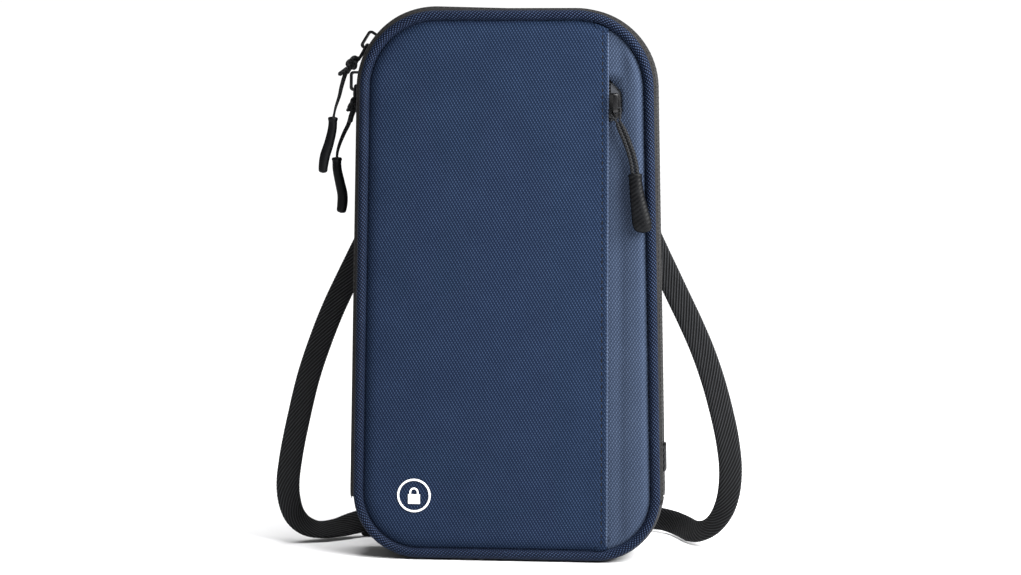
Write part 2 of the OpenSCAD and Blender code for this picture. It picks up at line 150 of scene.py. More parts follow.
def smooth_path(points, spacing):
    """A curve through every point (Catmull-Rom), walked in equal steps. Extra columns are carried along."""
    p = np.asarray(points, float)
    p = np.vstack([2 * p[0] - p[1], p, 2 * p[-1] - p[-2]])
    dense = []
    for a, b, c, d in zip(p[:-3], p[1:-2], p[2:-1], p[3:]):
        t1 = np.linalg.norm((b - a)[:3]) ** 0.5 + 1e-9
        t2 = t1 + np.linalg.norm((c - b)[:3]) ** 0.5 + 1e-9
        t3 = t2 + np.linalg.norm((d - c)[:3]) ** 0.5 + 1e-9
        count = max(4, int(np.linalg.norm((c - b)[:3]) / spacing * 3))
        t = np.linspace(t1, t2, count, endpoint=False)[:, None]
        a1 = a + (b - a) * t / t1
        a2 = b + (c - b) * (t - t1) / (t2 - t1)
        a3 = c + (d - c) * (t - t2) / (t3 - t2)
        b1, b2 = a1 + (a2 - a1) * t / t2, a2 + (a3 - a2) * (t - t1) / (t3 - t1)
        dense.append(b1 + (b2 - b1) * (t - t1) / (t2 - t1))
    dense = np.vstack(dense + [p[-2:-1]])
    walked = np.concatenate([[0], np.cumsum(np.linalg.norm(np.diff(dense[:, :3], axis=0), axis=1))])
    steps = np.linspace(0, walked[-1], max(2, round(walked[-1] / spacing)) + 1)
    return np.stack([np.interp(steps, walked, column) for column in dense.T], 1), steps


def unit(v):
    return v / np.linalg.norm(v, axis=-1, keepdims=True)


def frames_along(path, first):
    """Tangents and untwisted normals: each normal is the last one, made square to the next tangent."""
    tangents = unit(np.gradient(path, axis=0))
    normals, n = [], np.asarray(first, float)
    for t in tangents:
        n = unit(n - t * np.dot(n, t))
        normals.append(n)
    return tangents, np.array(normals)


def cord_mesh(name, points, radius, material, spacing=0.5, sides=12, first=(0, -1, 0)):
    """A round cord through points x, y, z, with rounded cut ends. A fourth column is the radius."""
    points = np.asarray(points, float)
    if points.shape[1] == 3:
        points = np.column_stack([points, np.full(len(points), radius)])
    path, steps = smooth_path(points, spacing)
    centre, r = path[:, :3], path[:, 3]
    ends = np.minimum(steps, steps[-1] - steps)
    r = r * np.sqrt(np.clip(1 - (1 - np.clip(ends / r.clip(0.01), 0, 1)) ** 2, 0.04, 1))
    tangents, normals = frames_along(centre, first)
    sides_ = np.cross(tangents, normals)
    a = np.linspace(0, 2 * math.pi, sides, endpoint=False)
    rows = (centre[:, None] + r[:, None, None] * (np.cos(a)[None, :, None] * normals[:, None]
            + np.sin(a)[None, :, None] * sides_[:, None]))
    return skin(name, rows, material, caps=True)


# %% [markdown]
# ## Camera
# The pouch is seen almost square on, from a little to its right and a little above. A long lens from over a
# metre away keeps the sides nearly parallel, as in a catalogue picture.

# %% The camera
def place_camera(azimuth, elevation, distance, aim, width):
    az, el = math.radians(azimuth), math.radians(elevation)
    away = Vector((math.sin(az) * math.cos(el), -math.cos(az) * math.cos(el), math.sin(el)))
    data = bpy.data.cameras.new("studio_camera")
    data.sensor_width = 36
    data.lens = 36 * distance / width
    data.dof.use_dof = False
    data.clip_start, data.clip_end = 0.02, 50
    camera = bpy.data.objects.new("studio_camera", data)
    camera.location = Vector(aim) * MM + away * distance * MM
    camera.rotation_mode = "QUATERNION"
    camera.rotation_quaternion = away.to_track_quat("Z", "Y")
    bpy.context.scene.collection.objects.link(camera)
    bpy.context.scene.camera = camera
    return camera


camera = place_camera(azimuth=6, elevation=5, distance=1100, aim=(1.9, -13.6, 114.1), width=420.3)
print("lens:", round(camera.data.lens, 1), "mm")

# %% [markdown]
# ## Finishes
# Cloth is threads, so its finish is drawn from threads: a wave for the ribs of the weave, a second wave
# across it that breaks each rib into stitches, and slow noise for wear and dye. Between them they drive the
# colour, the roughness and the bump. The waves read the UV map in millimetres, or the object's own
# coordinates on flat pieces, so a thread is as wide on a small tab as on the front.

# %% A small writer of node materials
class Finish:
    def __init__(self, name, flat=False):
        self.material = bpy.data.materials.new(name)
        self.material.use_nodes = True
        self.tree = self.material.node_tree
        self.shader = self.tree.nodes["Principled BSDF"]
        coordinates = self.node("ShaderNodeTexCoord")
        self.place = coordinates.outputs["UV"]
        if flat:
            turned = self.node("ShaderNodeMapping", Vector=coordinates.outputs["Object"],
                               Rotation=(math.pi / 2, 0, 0), Scale=(1000, 1000, 1000))
            self.place = turned.outputs[0]
        self.solid = self.node("ShaderNodeMapping", Vector=coordinates.outputs["Object"],
                               Scale=(1000, 1000, 1000)).outputs[0]

    def node(self, kind, **values):
        node = self.tree.nodes.new(kind)
        for key, value in values.items():
            self.put(node.inputs[key.replace("_", " ")], value)
        return node

    def put(self, socket, value):
        if isinstance(value, bpy.types.NodeSocket):
            self.tree.links.new(value, socket)
        else:
            socket.default_value = value

    def math(self, operation, a, b=0.0):
        node = self.tree.nodes.new("ShaderNodeMath")
        node.operation = operation
        self.put(node.inputs[0], a)
        self.put(node.inputs[1], b)
        return node.outputs[0]

    def ribs(self, pitch, angle, wobble=0.4):
        """Parallel ridges of one pitch in millimetres, turned by an angle in degrees."""
        turned = self.node("ShaderNodeMapping", Vector=self.place, Rotation=(0, 0, math.radians(angle)))
        wave = self.node("ShaderNodeTexWave", Vector=turned.outputs[0], Scale=2 * math.pi / (20 * pitch),
                         Distortion=wobble, Detail=1.0, Detail_Scale=1.5)
        return wave.outputs["Fac"]

    def cloud(self, size, detail=3.0):
        """Slow noise. size is in millimetres."""
        return self.node("ShaderNodeTexNoise", Vector=self.solid, Scale=1 / size, Detail=detail).outputs["Fac"]

    def span(self, value, low, high):
        node = self.tree.nodes.new("ShaderNodeMapRange")
        self.put(node.inputs["Value"], value)
        node.inputs["To Min"].default_value, node.inputs["To Max"].default_value = low, high
        return node.outputs[0]

    def colours(self, value, *stops):
        ramp = self.tree.nodes.new("ShaderNodeValToRGB")
        elements = ramp.color_ramp.elements
        while len(elements) < len(stops):
            elements.new(0.5)
        for element, (position, colour) in zip(elements, stops):
            element.position, element.color = position, (*colour, 1)
        self.put(ramp.inputs[0], value)
        return ramp.outputs[0]

    def finish(self, colour, rough, height, depth, **constants):
        """depth is in millimetres. Constants go straight to the shader's own sockets."""
        self.put(self.shader.inputs["Base Color"], colour)
        self.put(self.shader.inputs["Roughness"], rough)
        relief = self.node("ShaderNodeBump", Height=height, Distance=depth * MM, Strength=1.0)
        self.put(self.shader.inputs["Normal"], relief.outputs[0])
        for key, value in constants.items():
            self.shader.inputs[key.replace("_", " ")].default_value = value
        return self.material


def tint(colour, gain):
    return tuple(c * gain for c in colour)


# %% The navy twill, and its copies with painted light: paler for the strip and the fold, darker for the piping
def twill(name, ground, thread, pitch=1.25, lean=-30, cross=38, rough=(0.85, 0.55), shine=0.25):
    """Pale warp threads float over dark weft, one step on in each row, so they line up as slanting dots."""
    f = Finish(name)
    along = f.ribs(pitch, lean, 0.25)
    weave = f.math("MULTIPLY", along, f.span(f.ribs(pitch * 0.86, cross, 0.25), 0.25, 1.0))
    wear = f.cloud(16, 4)
    lint = f.cloud(0.5, 2)
    shade = f.math("ADD", f.math("MULTIPLY", weave, f.span(lint, 0.6, 1.0)),
                   f.math("MULTIPLY", f.span(wear, -0.3, 0.3), 0.35))
    colour = f.colours(shade, (0.02, tint(ground, 0.7)), (0.3, ground), (0.85, thread))
    height = f.math("ADD", weave, f.math("MULTIPLY", lint, 0.2))
    return f.finish(colour, f.span(weave, *rough), height, 0.16, Sheen_Weight=0.02, Sheen_Roughness=0.4,
                    Sheen_Tint=(0.5, 0.62, 0.9, 1), Specular_IOR_Level=shine)


navy_twill = twill("navy_twill", (0.0060, 0.0128, 0.0315), (0.030, 0.050, 0.094), pitch=1.12, shine=0.06)
# The strip is the panel's twill painted paler: painted light, standing for the light it catches, not a paler
# cloth.
navy_strip = twill("navy_strip", (0.026, 0.038, 0.067), (0.058, 0.080, 0.124), pitch=1.12, lean=34, cross=-30,
                   shine=0.08)
# A paler twill for the flap's folded edge: a painted highlight along the fold.
navy_edge_painted_highlight = twill("navy_edge_painted_highlight", (0.036, 0.052, 0.090), (0.075, 0.102, 0.155), shine=0.08)
# The piping is the panel's twill with its ground painted far darker: painted shade of the groove beside it. The
# pale threads are the weave's own.
navy_piping = twill("navy_piping", (0.0013, 0.0030, 0.0100), (0.044, 0.068, 0.128), pitch=1.1, lean=42,
                    cross=-60, rough=(0.6, 0.42), shine=0.05)


# %% Zip tape, gusset and lining
def herringbone(name, ground, thread, pitch=0.8, zigzag=3.2):
    """Diagonal ribs that change direction every few threads."""
    f = Finish(name)
    split = f.node("ShaderNodeSeparateXYZ", Vector=f.place)
    fold = f.math("PINGPONG", split.outputs["Y"], zigzag / 2)
    slanted = f.math("ADD", split.outputs["X"], fold)
    ridge = f.math("ABSOLUTE", f.math("SINE", f.math("MULTIPLY", slanted, math.pi / pitch)))
    lint = f.cloud(0.4, 2)
    wear = f.cloud(9)
    shade = f.math("ADD", f.math("MULTIPLY", ridge, 0.7), f.math("MULTIPLY", wear, 0.3))
    colour = f.colours(shade, (0.0, tint(ground, 0.5)), (0.5, ground), (1.0, thread))
    height = f.math("ADD", ridge, f.math("MULTIPLY", lint, 0.3))
    return f.finish(colour, f.span(lint, 0.95, 0.7), height, 0.12, Sheen_Weight=0.03, Specular_IOR_Level=0.1)


def plain_weave(name, ground, thread, pitch=0.5, flat=True, depth=0.06):
    f = Finish(name, flat)
    weave = f.math("MAXIMUM", f.ribs(pitch, 0, 0.3), f.ribs(pitch, 90, 0.3))
    wear = f.cloud(18, 4)
    shade = f.math("ADD", f.math("MULTIPLY", weave, 0.6), f.math("MULTIPLY", wear, 0.4))
    colour = f.colours(shade, (0.1, tint(ground, 0.6)), (0.55, ground), (1.0, thread))
    return f.finish(colour, f.span(weave, 0.8, 0.6), weave, depth, Sheen_Weight=0.03, Specular_IOR_Level=0.1)


zip_tape = herringbone("zip_tape", (0.005, 0.005, 0.0053), (0.034, 0.033, 0.032))
gusset_cloth = herringbone("gusset_cloth", (0.011, 0.011, 0.012), (0.048, 0.048, 0.050))
lining_cloth = plain_weave("lining_cloth", (0.035, 0.038, 0.045), (0.075, 0.080, 0.090))


# %% Webbing, elastic and cord
def webbing_finish(name, ground, thread, pitch=1.15, angle=62, depth=0.22):
    """Thick warp cords that lean across the strap, with finer threads along each."""
    f = Finish(name)
    rib = f.ribs(pitch, angle, 0.25)
    thread_lines = f.ribs(0.42, angle - 90, 0.5)
    lint = f.cloud(0.35, 2)
    weave = f.math("MULTIPLY", rib, f.span(thread_lines, 0.75, 1.0))
    shade = f.math("ADD", f.math("MULTIPLY", weave, 0.8), f.math("MULTIPLY", lint, 0.2))
    colour = f.colours(shade, (0.0, tint(ground, 0.35)), (0.55, ground), (1.0, thread))
    height = f.math("ADD", weave, f.math("MULTIPLY", lint, 0.15))
    return f.finish(colour, f.span(weave, 0.75, 0.42), height, depth, Sheen_Weight=0.02,
                    Specular_IOR_Level=0.1)


webbing = webbing_finish("webbing", (0.0045, 0.0046, 0.005), (0.034, 0.036, 0.040))
elastic = webbing_finish("elastic", (0.011, 0.011, 0.012), (0.040, 0.040, 0.042), 0.9, 90, 0.15)
binding_tape = webbing_finish("binding_tape", (0.014, 0.014, 0.015), (0.050, 0.050, 0.052), 0.7, 90, 0.1)


def braid(name, ground, thread, pitch=1.1):
    """Two sets of strands that wind opposite ways round a cord."""
    f = Finish(name)
    strands = f.math("MAXIMUM", f.ribs(pitch, 38, 0.15), f.ribs(pitch, -38, 0.15))
    lint = f.cloud(0.3, 2)
    colour = f.colours(strands, (0.2, tint(ground, 0.3)), (0.6, ground), (1.0, thread))
    return f.finish(colour, f.span(lint, 0.7, 0.4), strands, 0.16, Sheen_Weight=0.02, Specular_IOR_Level=0.1)


pull_cord = braid("pull_cord", (0.002, 0.002, 0.0024), (0.015, 0.016, 0.018))
sewing_thread = braid("sewing_thread", (0.060, 0.080, 0.125), (0.24, 0.29, 0.38), 0.5)
black_thread = braid("black_thread", (0.020, 0.020, 0.022), (0.10, 0.10, 0.11), 0.5)


# %% Enamelled metal, moulded plastic and rubber, foam, foil and print
def hard(name, ground, worn, low, high, grain, depth, wear_at=0.62, **constants):
    """A hard skin: fine grain in the gloss, and rubbed patches where it has worn."""
    f = Finish(name)
    skin_grain = f.cloud(grain, 3)
    rubbed = f.cloud(3.5, 5)
    colour = f.colours(rubbed, (wear_at - 0.12, ground), (wear_at + 0.2, worn))
    gloss = f.math("ADD", f.math("MULTIPLY", skin_grain, 0.6), f.math("MULTIPLY", rubbed, 0.4))
    rough = f.span(gloss, low, high)
    return f.finish(colour, rough, skin_grain, depth, **constants)


black_metal = hard("black_metal", (0.003, 0.003, 0.0035), (0.018, 0.018, 0.019), 0.2, 0.42, 0.6, 0.012,
                   Specular_IOR_Level=0.3, Coat_Weight=0.15, Coat_Roughness=0.12)
black_plastic = hard("black_plastic", (0.004, 0.004, 0.0045), (0.012, 0.012, 0.013), 0.32, 0.6, 0.35, 0.02,
                     Specular_IOR_Level=0.1)
zip_nylon = hard("zip_nylon", (0.008, 0.008, 0.0085), (0.030, 0.030, 0.032), 0.28, 0.5, 0.4, 0.015,
                 Specular_IOR_Level=0.1)
grip_rubber = hard("grip_rubber", (0.0018, 0.002, 0.0026), (0.0045, 0.005, 0.006), 0.34, 0.55, 0.3, 0.025,
                   Specular_IOR_Level=0.1)
foam_board = hard("foam_board", (0.26, 0.27, 0.28), (0.33, 0.34, 0.35), 0.8, 0.95, 0.5, 0.12)
rfid_foil = hard("rfid_foil", (0.55, 0.56, 0.58), (0.72, 0.73, 0.75), 0.22, 0.45, 1.6, 0.05, Metallic=0.9)
white_print = hard("white_print", (0.78, 0.79, 0.80), (0.60, 0.61, 0.63), 0.45, 0.75, 0.4, 0.03)
print("finishes:", len(bpy.data.materials))

# %% [markdown]
# ## The neck strap
# A webbing strap is one flat ribbon of about 1.15 m. It leaves a ring behind the pouch on each side, drops
# and swings out to the table, and turns in behind the pouch, where the spare length is folded to and fro and
# tied. A ribbon has a front and a back, so each point of its path carries a direction for its flat face too.
# A curve with a bevel could twist between the points, so the section is carried along by hand.

# %% The strap's path
strap_left_route = [
    [-57, 16.9, 143, 0], [-63, 17, 131, 0], [-70, 17, 117, 0], [-77, 17, 102.5, 0],
    [-82.5, 17, 89, 0], [-88, 17, 73, 0], [-92.5, 17, 55, 2], [-96, 17, 38, 8],
    [-97.5, 17.2, 26, 15], [-97, 17.8, 18.5, 25], [-95, 19, 12, 38], [-91, 21, 7.4, 50],
    [-85, 24, 5, 58], [-78, 29, 5, 48], [-72, 34, 6.2, 24], [-66, 36.8, 7.4, 6],
    [-60, 37.8, 7.4, 0], [-54.8, 38, 6.4, 0]]
strap_right_route = [
    [53, 16.9, 143, 0], [58, 17, 132.3, 0], [63.5, 17, 121, 0], [69, 17, 109.5, 0],
    [75, 17, 97, 0], [80, 17, 85.5, 0], [84.4, 17, 73, 0], [88, 17, 60, 0],
    [90.6, 17, 48, -4], [92, 17.3, 36, -10], [91.5, 18, 26, -18], [89.4, 19.5, 18, -30],
    [85.6, 22.5, 11.5, -42], [80.4, 28, 7, -50], [75.6, 36, 5.2, -42], [71.4, 46, 5.2, -26],
    [66.4, 54.6, 5.6, -10], [60.6, 60, 6, 0], [54.8, 61.4, 6, 0]]
HANK_RUNS, HANK_PITCH, HANK_Y, HANK_X = 7, 3.9, 38.0, 51.5
STRAP_W, STRAP_T = 10.0, 1.5


def face_direction(route):
    """The webbing's flat side at each point: towards the front, turned by the roll."""
    p = np.array(route, float)
    t = unit(np.gradient(p[:, :3], axis=0))
    face = np.array([0, -1.0, 0]) - t * (t @ [0, -1.0, 0])[:, None]
    face = unit(face)
    edge = np.cross(t, face)
    roll = np.radians(p[:, 3])[:, None]
    return np.hstack([p[:, :3], face * np.cos(roll) - edge * np.sin(roll)])


def hank():
    """Runs side by side on edge, joined by half turns."""
    rows, r = [], HANK_PITCH / 2
    for run in range(HANK_RUNS):
        way, y = (1, -1)[run % 2], HANK_Y + HANK_PITCH * run
        for x in np.linspace(-HANK_X, HANK_X, 9) * way:
            sag = 0.25 * math.sin(x / 17 + run * 2.1)
            rows.append([x, y + sag * 0.5, 6 + sag * 0.3, 0, -way, 0])
        if run < HANK_RUNS - 1:
            for a in np.linspace(-90, 90, 9)[1:-1]:
                c, s = math.cos(math.radians(a)), math.sin(math.radians(a))
                rows.append([way * (HANK_X + r * c), y + r + r * s, 6, way * c, s, 0])
    return np.array(rows)


left_side = face_direction(strap_left_route)
right_side = face_direction(strap_right_route)[::-1].copy()
right_side[-1:, :3] = strap_right_route[0][:3]
strap_track = np.vstack([left_side, hank(), right_side])
strap_path, strap_walk = smooth_path(strap_track, 0.45)
strap_centre, strap_face = strap_path[:, :3], unit(strap_path[:, 3:])

# %% The strap's webbing
def ribbon(name, centre, face, walk, width, thick, material, scallop=0.0):
    """A flat band with rounded, slightly scalloped edges, where the weft threads turn back."""
    t = unit(np.gradient(centre, axis=0))
    face = unit(face - t * (face * t).sum(1, keepdims=True))
    across = np.cross(t, face)
    section = [(-1, 0), (-0.975, 0.62), (-0.9, 0.95), (-0.45, 1), (0.45, 1), (0.9, 0.95), (0.975, 0.62),
               (1, 0), (0.975, -0.62), (0.9, -0.95), (0.45, -1), (-0.45, -1), (-0.9, -0.95), (-0.975, -0.62)]
    edge = 1 + scallop * (np.abs(np.sin(walk * math.pi / 1.3)) - 0.6)
    rows = [centre + across * (u * width / 2 * edge)[:, None] + face * v * thick / 2 for u, v in section]
    return skin(name, np.stack(rows, 1), material, caps=True, walk=np.append(walk, walk[-1]))


neck_strap = ribbon("neck_strap", strap_centre, strap_face, strap_walk, STRAP_W, STRAP_T, webbing, 0.03)

# %% [markdown]
# ## Padded panels
# The front and the back are cloth laid over a thin pad and sewn down into the groove beside the piping, so
# the face is nearly flat, with a round shoulder at the seam. A formula draws the shoulder. What is left is
# how the cloth lifts between its seams, by a fraction of a millimetre, and a cloth simulation gives the form
# of that: the sheet is pinned along its seams and a light pressure lifts the rest. How far it lifts follows
# from the pressure, which is a choice. The triangles follow the seam exactly, because the points along it
# are kept as edges.

# %% A closed pad over any outline
PANEL_IN, FLAP_X, SEAM_Y, FACE_Y = 5.0, 42.0, -12.9, -15.25
MARK_X, MARK_Z, MARK_R = -38.2, 27.2, 8.5
PANEL_RINGS = (5.5, 6.2, 7.2, 8.6, 10.4)


def inside_rings(insets, keep, spacing):
    """Points on rings inside the outline and on a grid in the middle, where keep(x, z) says so."""
    picked = []
    for inset in insets:
        ring = seam_points - seam_normals * inset
        picked += [p for p in ring[::max(1, round(spacing / 1.5))] if keep(*p)]
    rows = np.arange(2, HEIGHT, spacing * 0.87)
    for k, z in enumerate(rows):
        for x in np.arange(-66 + (k % 2) * spacing / 2, 66, spacing):
            if keep(x, z) and depth_inside(np.array([[x, z]]))[0] > insets[-1] + spacing * 0.5:
                picked.append(np.array([x, z]))
    return picked


def depth_inside(points):
    """How far each point lies inside the outline."""
    out = []
    for chunk in np.array_split(points, max(1, len(points) // 500)):
        away = chunk[:, None] - seam_points[None]
        near = np.argmin((away ** 2).sum(2), 1)
        out.append(-(away[np.arange(len(chunk)), near] * seam_normals[near]).sum(1))
    return np.concatenate(out)


def pad(name, border, inner, front_y, back_y, material):
    """border and inner are points x, z. The front and the back share one plan, and a wall joins them."""
    points = [Vector(p) for p in border] + [Vector(p) for p in inner]
    n = len(border)
    edges = [(i, (i + 1) % n) for i in range(n)]
    found = geometry.delaunay_2d_cdt(points, edges, [], 1, 1e-4)
    plan, faces = np.array([list(v) for v in found[0]]), [list(f) for f in found[2]]
    count = len(plan)
    front = np.column_stack([plan[:, 0], front_y(plan), plan[:, 1]])
    back = np.column_stack([plan[:, 0], back_y(plan), plan[:, 1]])
    rim = dict.fromkeys((a, b) for f in faces for a, b in zip(f, f[1:] + f[:1]))
    walls = [[b, a, a + count, b + count] for a, b in rim if (b, a) not in rim]
    faces = faces + [[i + count for i in f[::-1]] for f in faces] + walls
    vertices = np.vstack([front, back])
    uvs = [[vertices[i][0], vertices[i][2]] for f in faces for i in f]
    piece = make_object(name, vertices, faces, uvs, material, heal=True)
    return piece, count


def swell(piece, held, pressure, cap, frames=16):
    """Cloth with pressure, pinned where held is 1. It stays down round the printed mark and beside the flap's
    stitches. The cap, in millimetres, is only a guard, because the pressure is low. Returned are the furthest
    move that is kept, and the share of loose points that the cap held back."""
    start = np.array([v.co for v in piece.data.vertices])
    group = piece.vertex_groups.new(name="seams")
    for i, weight in enumerate(held):
        group.add([i], float(weight), "REPLACE")
    cloth = piece.modifiers.new("swelling", "CLOTH")
    settings = cloth.settings
    settings.quality, settings.mass, settings.air_damping = 5, 0.15, 4
    settings.tension_stiffness = settings.compression_stiffness = settings.shear_stiffness = 12
    settings.bending_stiffness = 0.6
    settings.vertex_group_mass = "seams"
    settings.effector_weights.gravity = 0
    settings.use_pressure, settings.uniform_pressure_force = True, pressure
    cloth.point_cache.frame_start, cloth.point_cache.frame_end = 1, frames
    scene = bpy.context.scene
    for f in range(1, frames + 1):
        scene.frame_set(f)
    graph = bpy.context.evaluated_depsgraph_get()
    shaped = piece.evaluated_get(graph).data
    moved = np.array([v.co for v in shaped.vertices]) - start
    far = np.linalg.norm(moved, axis=1, keepdims=True).clip(1e-9)
    moved *= np.minimum(1, cap * MM / far)
    x, y, z = (start / MM).T
    from_mark = (np.hypot(x - MARK_X, z - MARK_Z) - MARK_R) / 16
    from_stitches = (FLAP_X - 3.2 - x) / 9
    free = np.minimum(from_mark, from_stitches).clip(0, 1)
    moved *= np.where(y < 0, free * free * (3 - 2 * free), 1)[:, None]
    piece.modifiers.remove(cloth)
    piece.vertex_groups.remove(group)
    piece.data.vertices.foreach_set("co", (start + moved).ravel())
    piece.data.update()
    scene.frame_set(1)
    loose = np.asarray(held) < 0.5
    return float(np.linalg.norm(moved, axis=1).max() / MM), float((far[loose] > cap * MM).mean())


def padded_panel(name, border, inner, front_y, back_y, pinned_past, pressure, cap):
    """A pad whose outer sheet is swelled. It is pinned along its seam, and wherever x is past pinned_past."""
    piece, count = pad(name, border, inner, front_y, back_y, navy_twill)
    plan = np.array([[v.co.x / MM, v.co.z / MM] for v in piece.data.vertices])
    seam = depth_inside(plan) - PANEL_IN < 0.8
    held = np.where(seam | (plan[:, 0] > pinned_past), 1.0, 0.0)
    held[count:] = 1.0
    swelled, capped = swell(piece, held, pressure, cap)
    print(name, len(piece.data.polygons), "faces, swelled", round(swelled, 2), "mm, capped", round(capped, 3))
    return piece


def shoulder(depth, reach, power=2.4):
    """0 at the seam, rising steeply and levelling at 1, a reach away from it."""
    return 1 - (1 - np.clip(depth / reach, 0, 1)) ** power


def slow_waves(plan, size, seed):
    return np.array([noise.noise(Vector((x / size, z / size, seed))) for x, z in plan])


# %% The front panel and its flap
def cut_border(x_limit, inset, spacing=2):
    """The inset outline left of a vertical line, which is closed along that line."""
    ring = (seam_points - seam_normals * inset)[::spacing]
    first = next(i for i, p in enumerate(ring) if p[0] >= x_limit - 0.4)
    last = max(i for i, p in enumerate(ring) if p[0] >= x_limit - 0.4)
    low, high = ring[first][1], ring[last][1]
    edge = [np.array([x_limit, z]) for z in np.arange(low + 1.2, high - 1.2, 2.2)]
    cut = [np.array([x_limit, low])] + edge + [np.array([x_limit, high])]
    return list(ring[:first]) + cut + list(ring[last + 1:])


def panel_front(plan):
    deep = depth_inside(plan) - PANEL_IN
    flap = FLAP_X - plan[:, 0]
    face = SEAM_Y + (FACE_Y - SEAM_Y) * shoulder(deep, 5.5)
    fold = np.clip(flap / 1.1, 0, 1)
    face = np.where(flap < 1.1, face * (0.972 + 0.028 * np.sqrt(1 - (1 - fold) ** 2)), face)
    dent = 0.22 * np.exp(-((flap - 2.1) / 0.5) ** 2)
    return face + dent - 0.10 * slow_waves(plan, 34, 1.7) * shoulder(deep, 20)


def panel_back(plan):
    flap = FLAP_X - plan[:, 0]
    return np.where(flap < 6.3, np.minimum(-14.35, panel_front(plan) + 0.55), -12.45)


flap_lines = [np.array([FLAP_X - d, z]) for d in (0.5, 1.1, 1.6, 2.1, 2.6, 3.4, 5.6, 6.6)
              for z in np.arange(8, HEIGHT - 7, 2.2)]
flap_lines = [p for p in flap_lines if depth_inside(p[None])[0] > PANEL_IN + 0.7]
inner = inside_rings(PANEL_RINGS, lambda x, z: x < FLAP_X - 4.4, 3.0)
front_panel = padded_panel("front_panel_cloth", cut_border(FLAP_X, PANEL_IN), inner + flap_lines, panel_front,
                           panel_back, pinned_past=FLAP_X - 3, pressure=0.2, cap=0.5)

# %% The strip beside the pocket zip
def strip_front(plan):
    """Low under the flap, rising to a pad beside the piping."""
    deep = depth_inside(plan) - PANEL_IN
    rise = np.clip((plan[:, 0] - 46.9) / 5.5, 0, 1)
    hill = rise * rise * (3 - 2 * rise)
    face = -13.1 - 1.65 * hill
    return SEAM_Y + (face - SEAM_Y) * shoulder(deep, 3.2) - 0.1 * slow_waves(plan, 15, 4.2) * rise


# The strip's edge lies under the flap, and turns away round the slider, where the pocket opens
opening = [(40.9, 199.8), (42.6, 199.4), (44.6, 197.2), (47.0, 194.6), (47.5, 192), (47.5, 186.5), (46.6, 184),
           (44.0, 182.6), (40.9, 182.0)]
strip_right = [p for p in seam_points - seam_normals * PANEL_IN if p[0] > 41.4]
low, high = strip_right[0][1], strip_right[-1][1]
strip_left = [(40.9, z) for z in np.arange(high - 0.6, 200.6, -2.2)] + opening + [
    (40.9, z) for z in np.arange(180.0, low + 0.8, -2.2)]
strip_border = strip_right + [np.array(p) for p in strip_left]


def on_strip(x, z):
    return not (x < 48.6 and 181 < z < 201) and depth_inside(np.array([[x, z]]))[0] > PANEL_IN + 0.5


strip_inner = [p for inset in (5.6, 6.4, 7.4, 8.6)
               for p in (seam_points - seam_normals * inset)[::2] if p[0] > 42.4]
strip_inner += [np.array([x, z]) for x in (42.3, 43.4, 44.6, 45.8, 47.2, 48.6, 50)
                for z in np.arange(7, HEIGHT - 6, 2.2) if depth_inside(np.array([[x, z]]))[0] > 9.2]
strip_inner = [p for p in strip_inner if on_strip(*p)]
# The strip's cloth is painted paler than the panel's: painted light.
front_strip = pad("front_strip_cloth", strip_border, strip_inner, strip_front,
                  lambda plan: strip_front(plan) + 0.45, navy_strip)[0]
print("front strip:", len(front_strip.data.polygons), "faces")

# %% The flap's folded edge
fold_line = []
for z in np.arange(7, HEIGHT - 6, 2.0):
    at = np.array([[FLAP_X, z]])
    if depth_inside(at)[0] > PANEL_IN + 0.3:
        fold_line.append([FLAP_X - 0.12, float(panel_front(np.array([[FLAP_X - 1.2, z]]))[0]) + 0.42, z])
# The tube's paler cloth is a painted highlight where the fold catches the light.
flap_fold = cord_mesh("flap_fold", fold_line, 0.42, navy_edge_painted_highlight, 0.8, 10)

# %% The back panel
def back_face(plan):
    deep = depth_inside(plan) - PANEL_IN
    return 12.9 + 2.3 * shoulder(deep, 5.5) + 0.12 * slow_waves(plan, 30, 8.1) * shoulder(deep, 20)


back_border = list((seam_points - seam_normals * PANEL_IN)[::2])
back_inner = inside_rings(PANEL_RINGS, lambda x, z: True, 3.4)
back_panel = padded_panel("back_panel_cloth", back_border, back_inner, back_face,
                          lambda plan: np.full(len(plan), 12.75), pinned_past=math.inf, pressure=0.1, cap=0.3)

# %% [markdown]
# ## Piping
# Piping is a thin cord wrapped in a bias-cut strip of the panel's cloth, whose two edges are sewn into the
# seam as a flange. On the bias the twill runs round it slantwise. The cord is a circle swept along the
# outline. The flange fills the groove between the piping and the panel, where the needle has gone through.

# %% Both pipings
PIPING_IN, PIPING_Y, PIPING_R = 2.7, 13.6, 1.9


def piping(name, way):
    """A drop-shaped section: round outside, drawn into a flange that runs in under the panel."""
    rows = []
    angles = np.radians(np.arange(-150, 151, 20))
    for i, (p, n) in enumerate(zip(seam_points, seam_normals)):
        radius = PIPING_R * (1 + 0.018 * noise.noise(Vector((seam_walk[i] / 9, 0, way))))
        row = []
        for a in angles:
            out = radius * math.cos(a)
            x, z = p - n * (PIPING_IN - out)
            row.append([x, way * (PIPING_Y + radius * math.sin(a)), z])
        for inset, y in ((4.9, 12.75), (6.5, 12.6), (6.5, 12.1), (4.6, 12.1)):
            x, z = p - n * inset
            row.append([x, way * y, z])
        rows.append(row)
    # The piping and its flange take the darker twill: painted shade of the groove between piping and panel.
    return skin(name, rows, navy_piping, loop=True)


front_piping = piping("front_piping_cloth", -1)
back_piping = piping("back_piping_cloth", 1)
print("piping:", len(front_piping.data.polygons), "faces each")
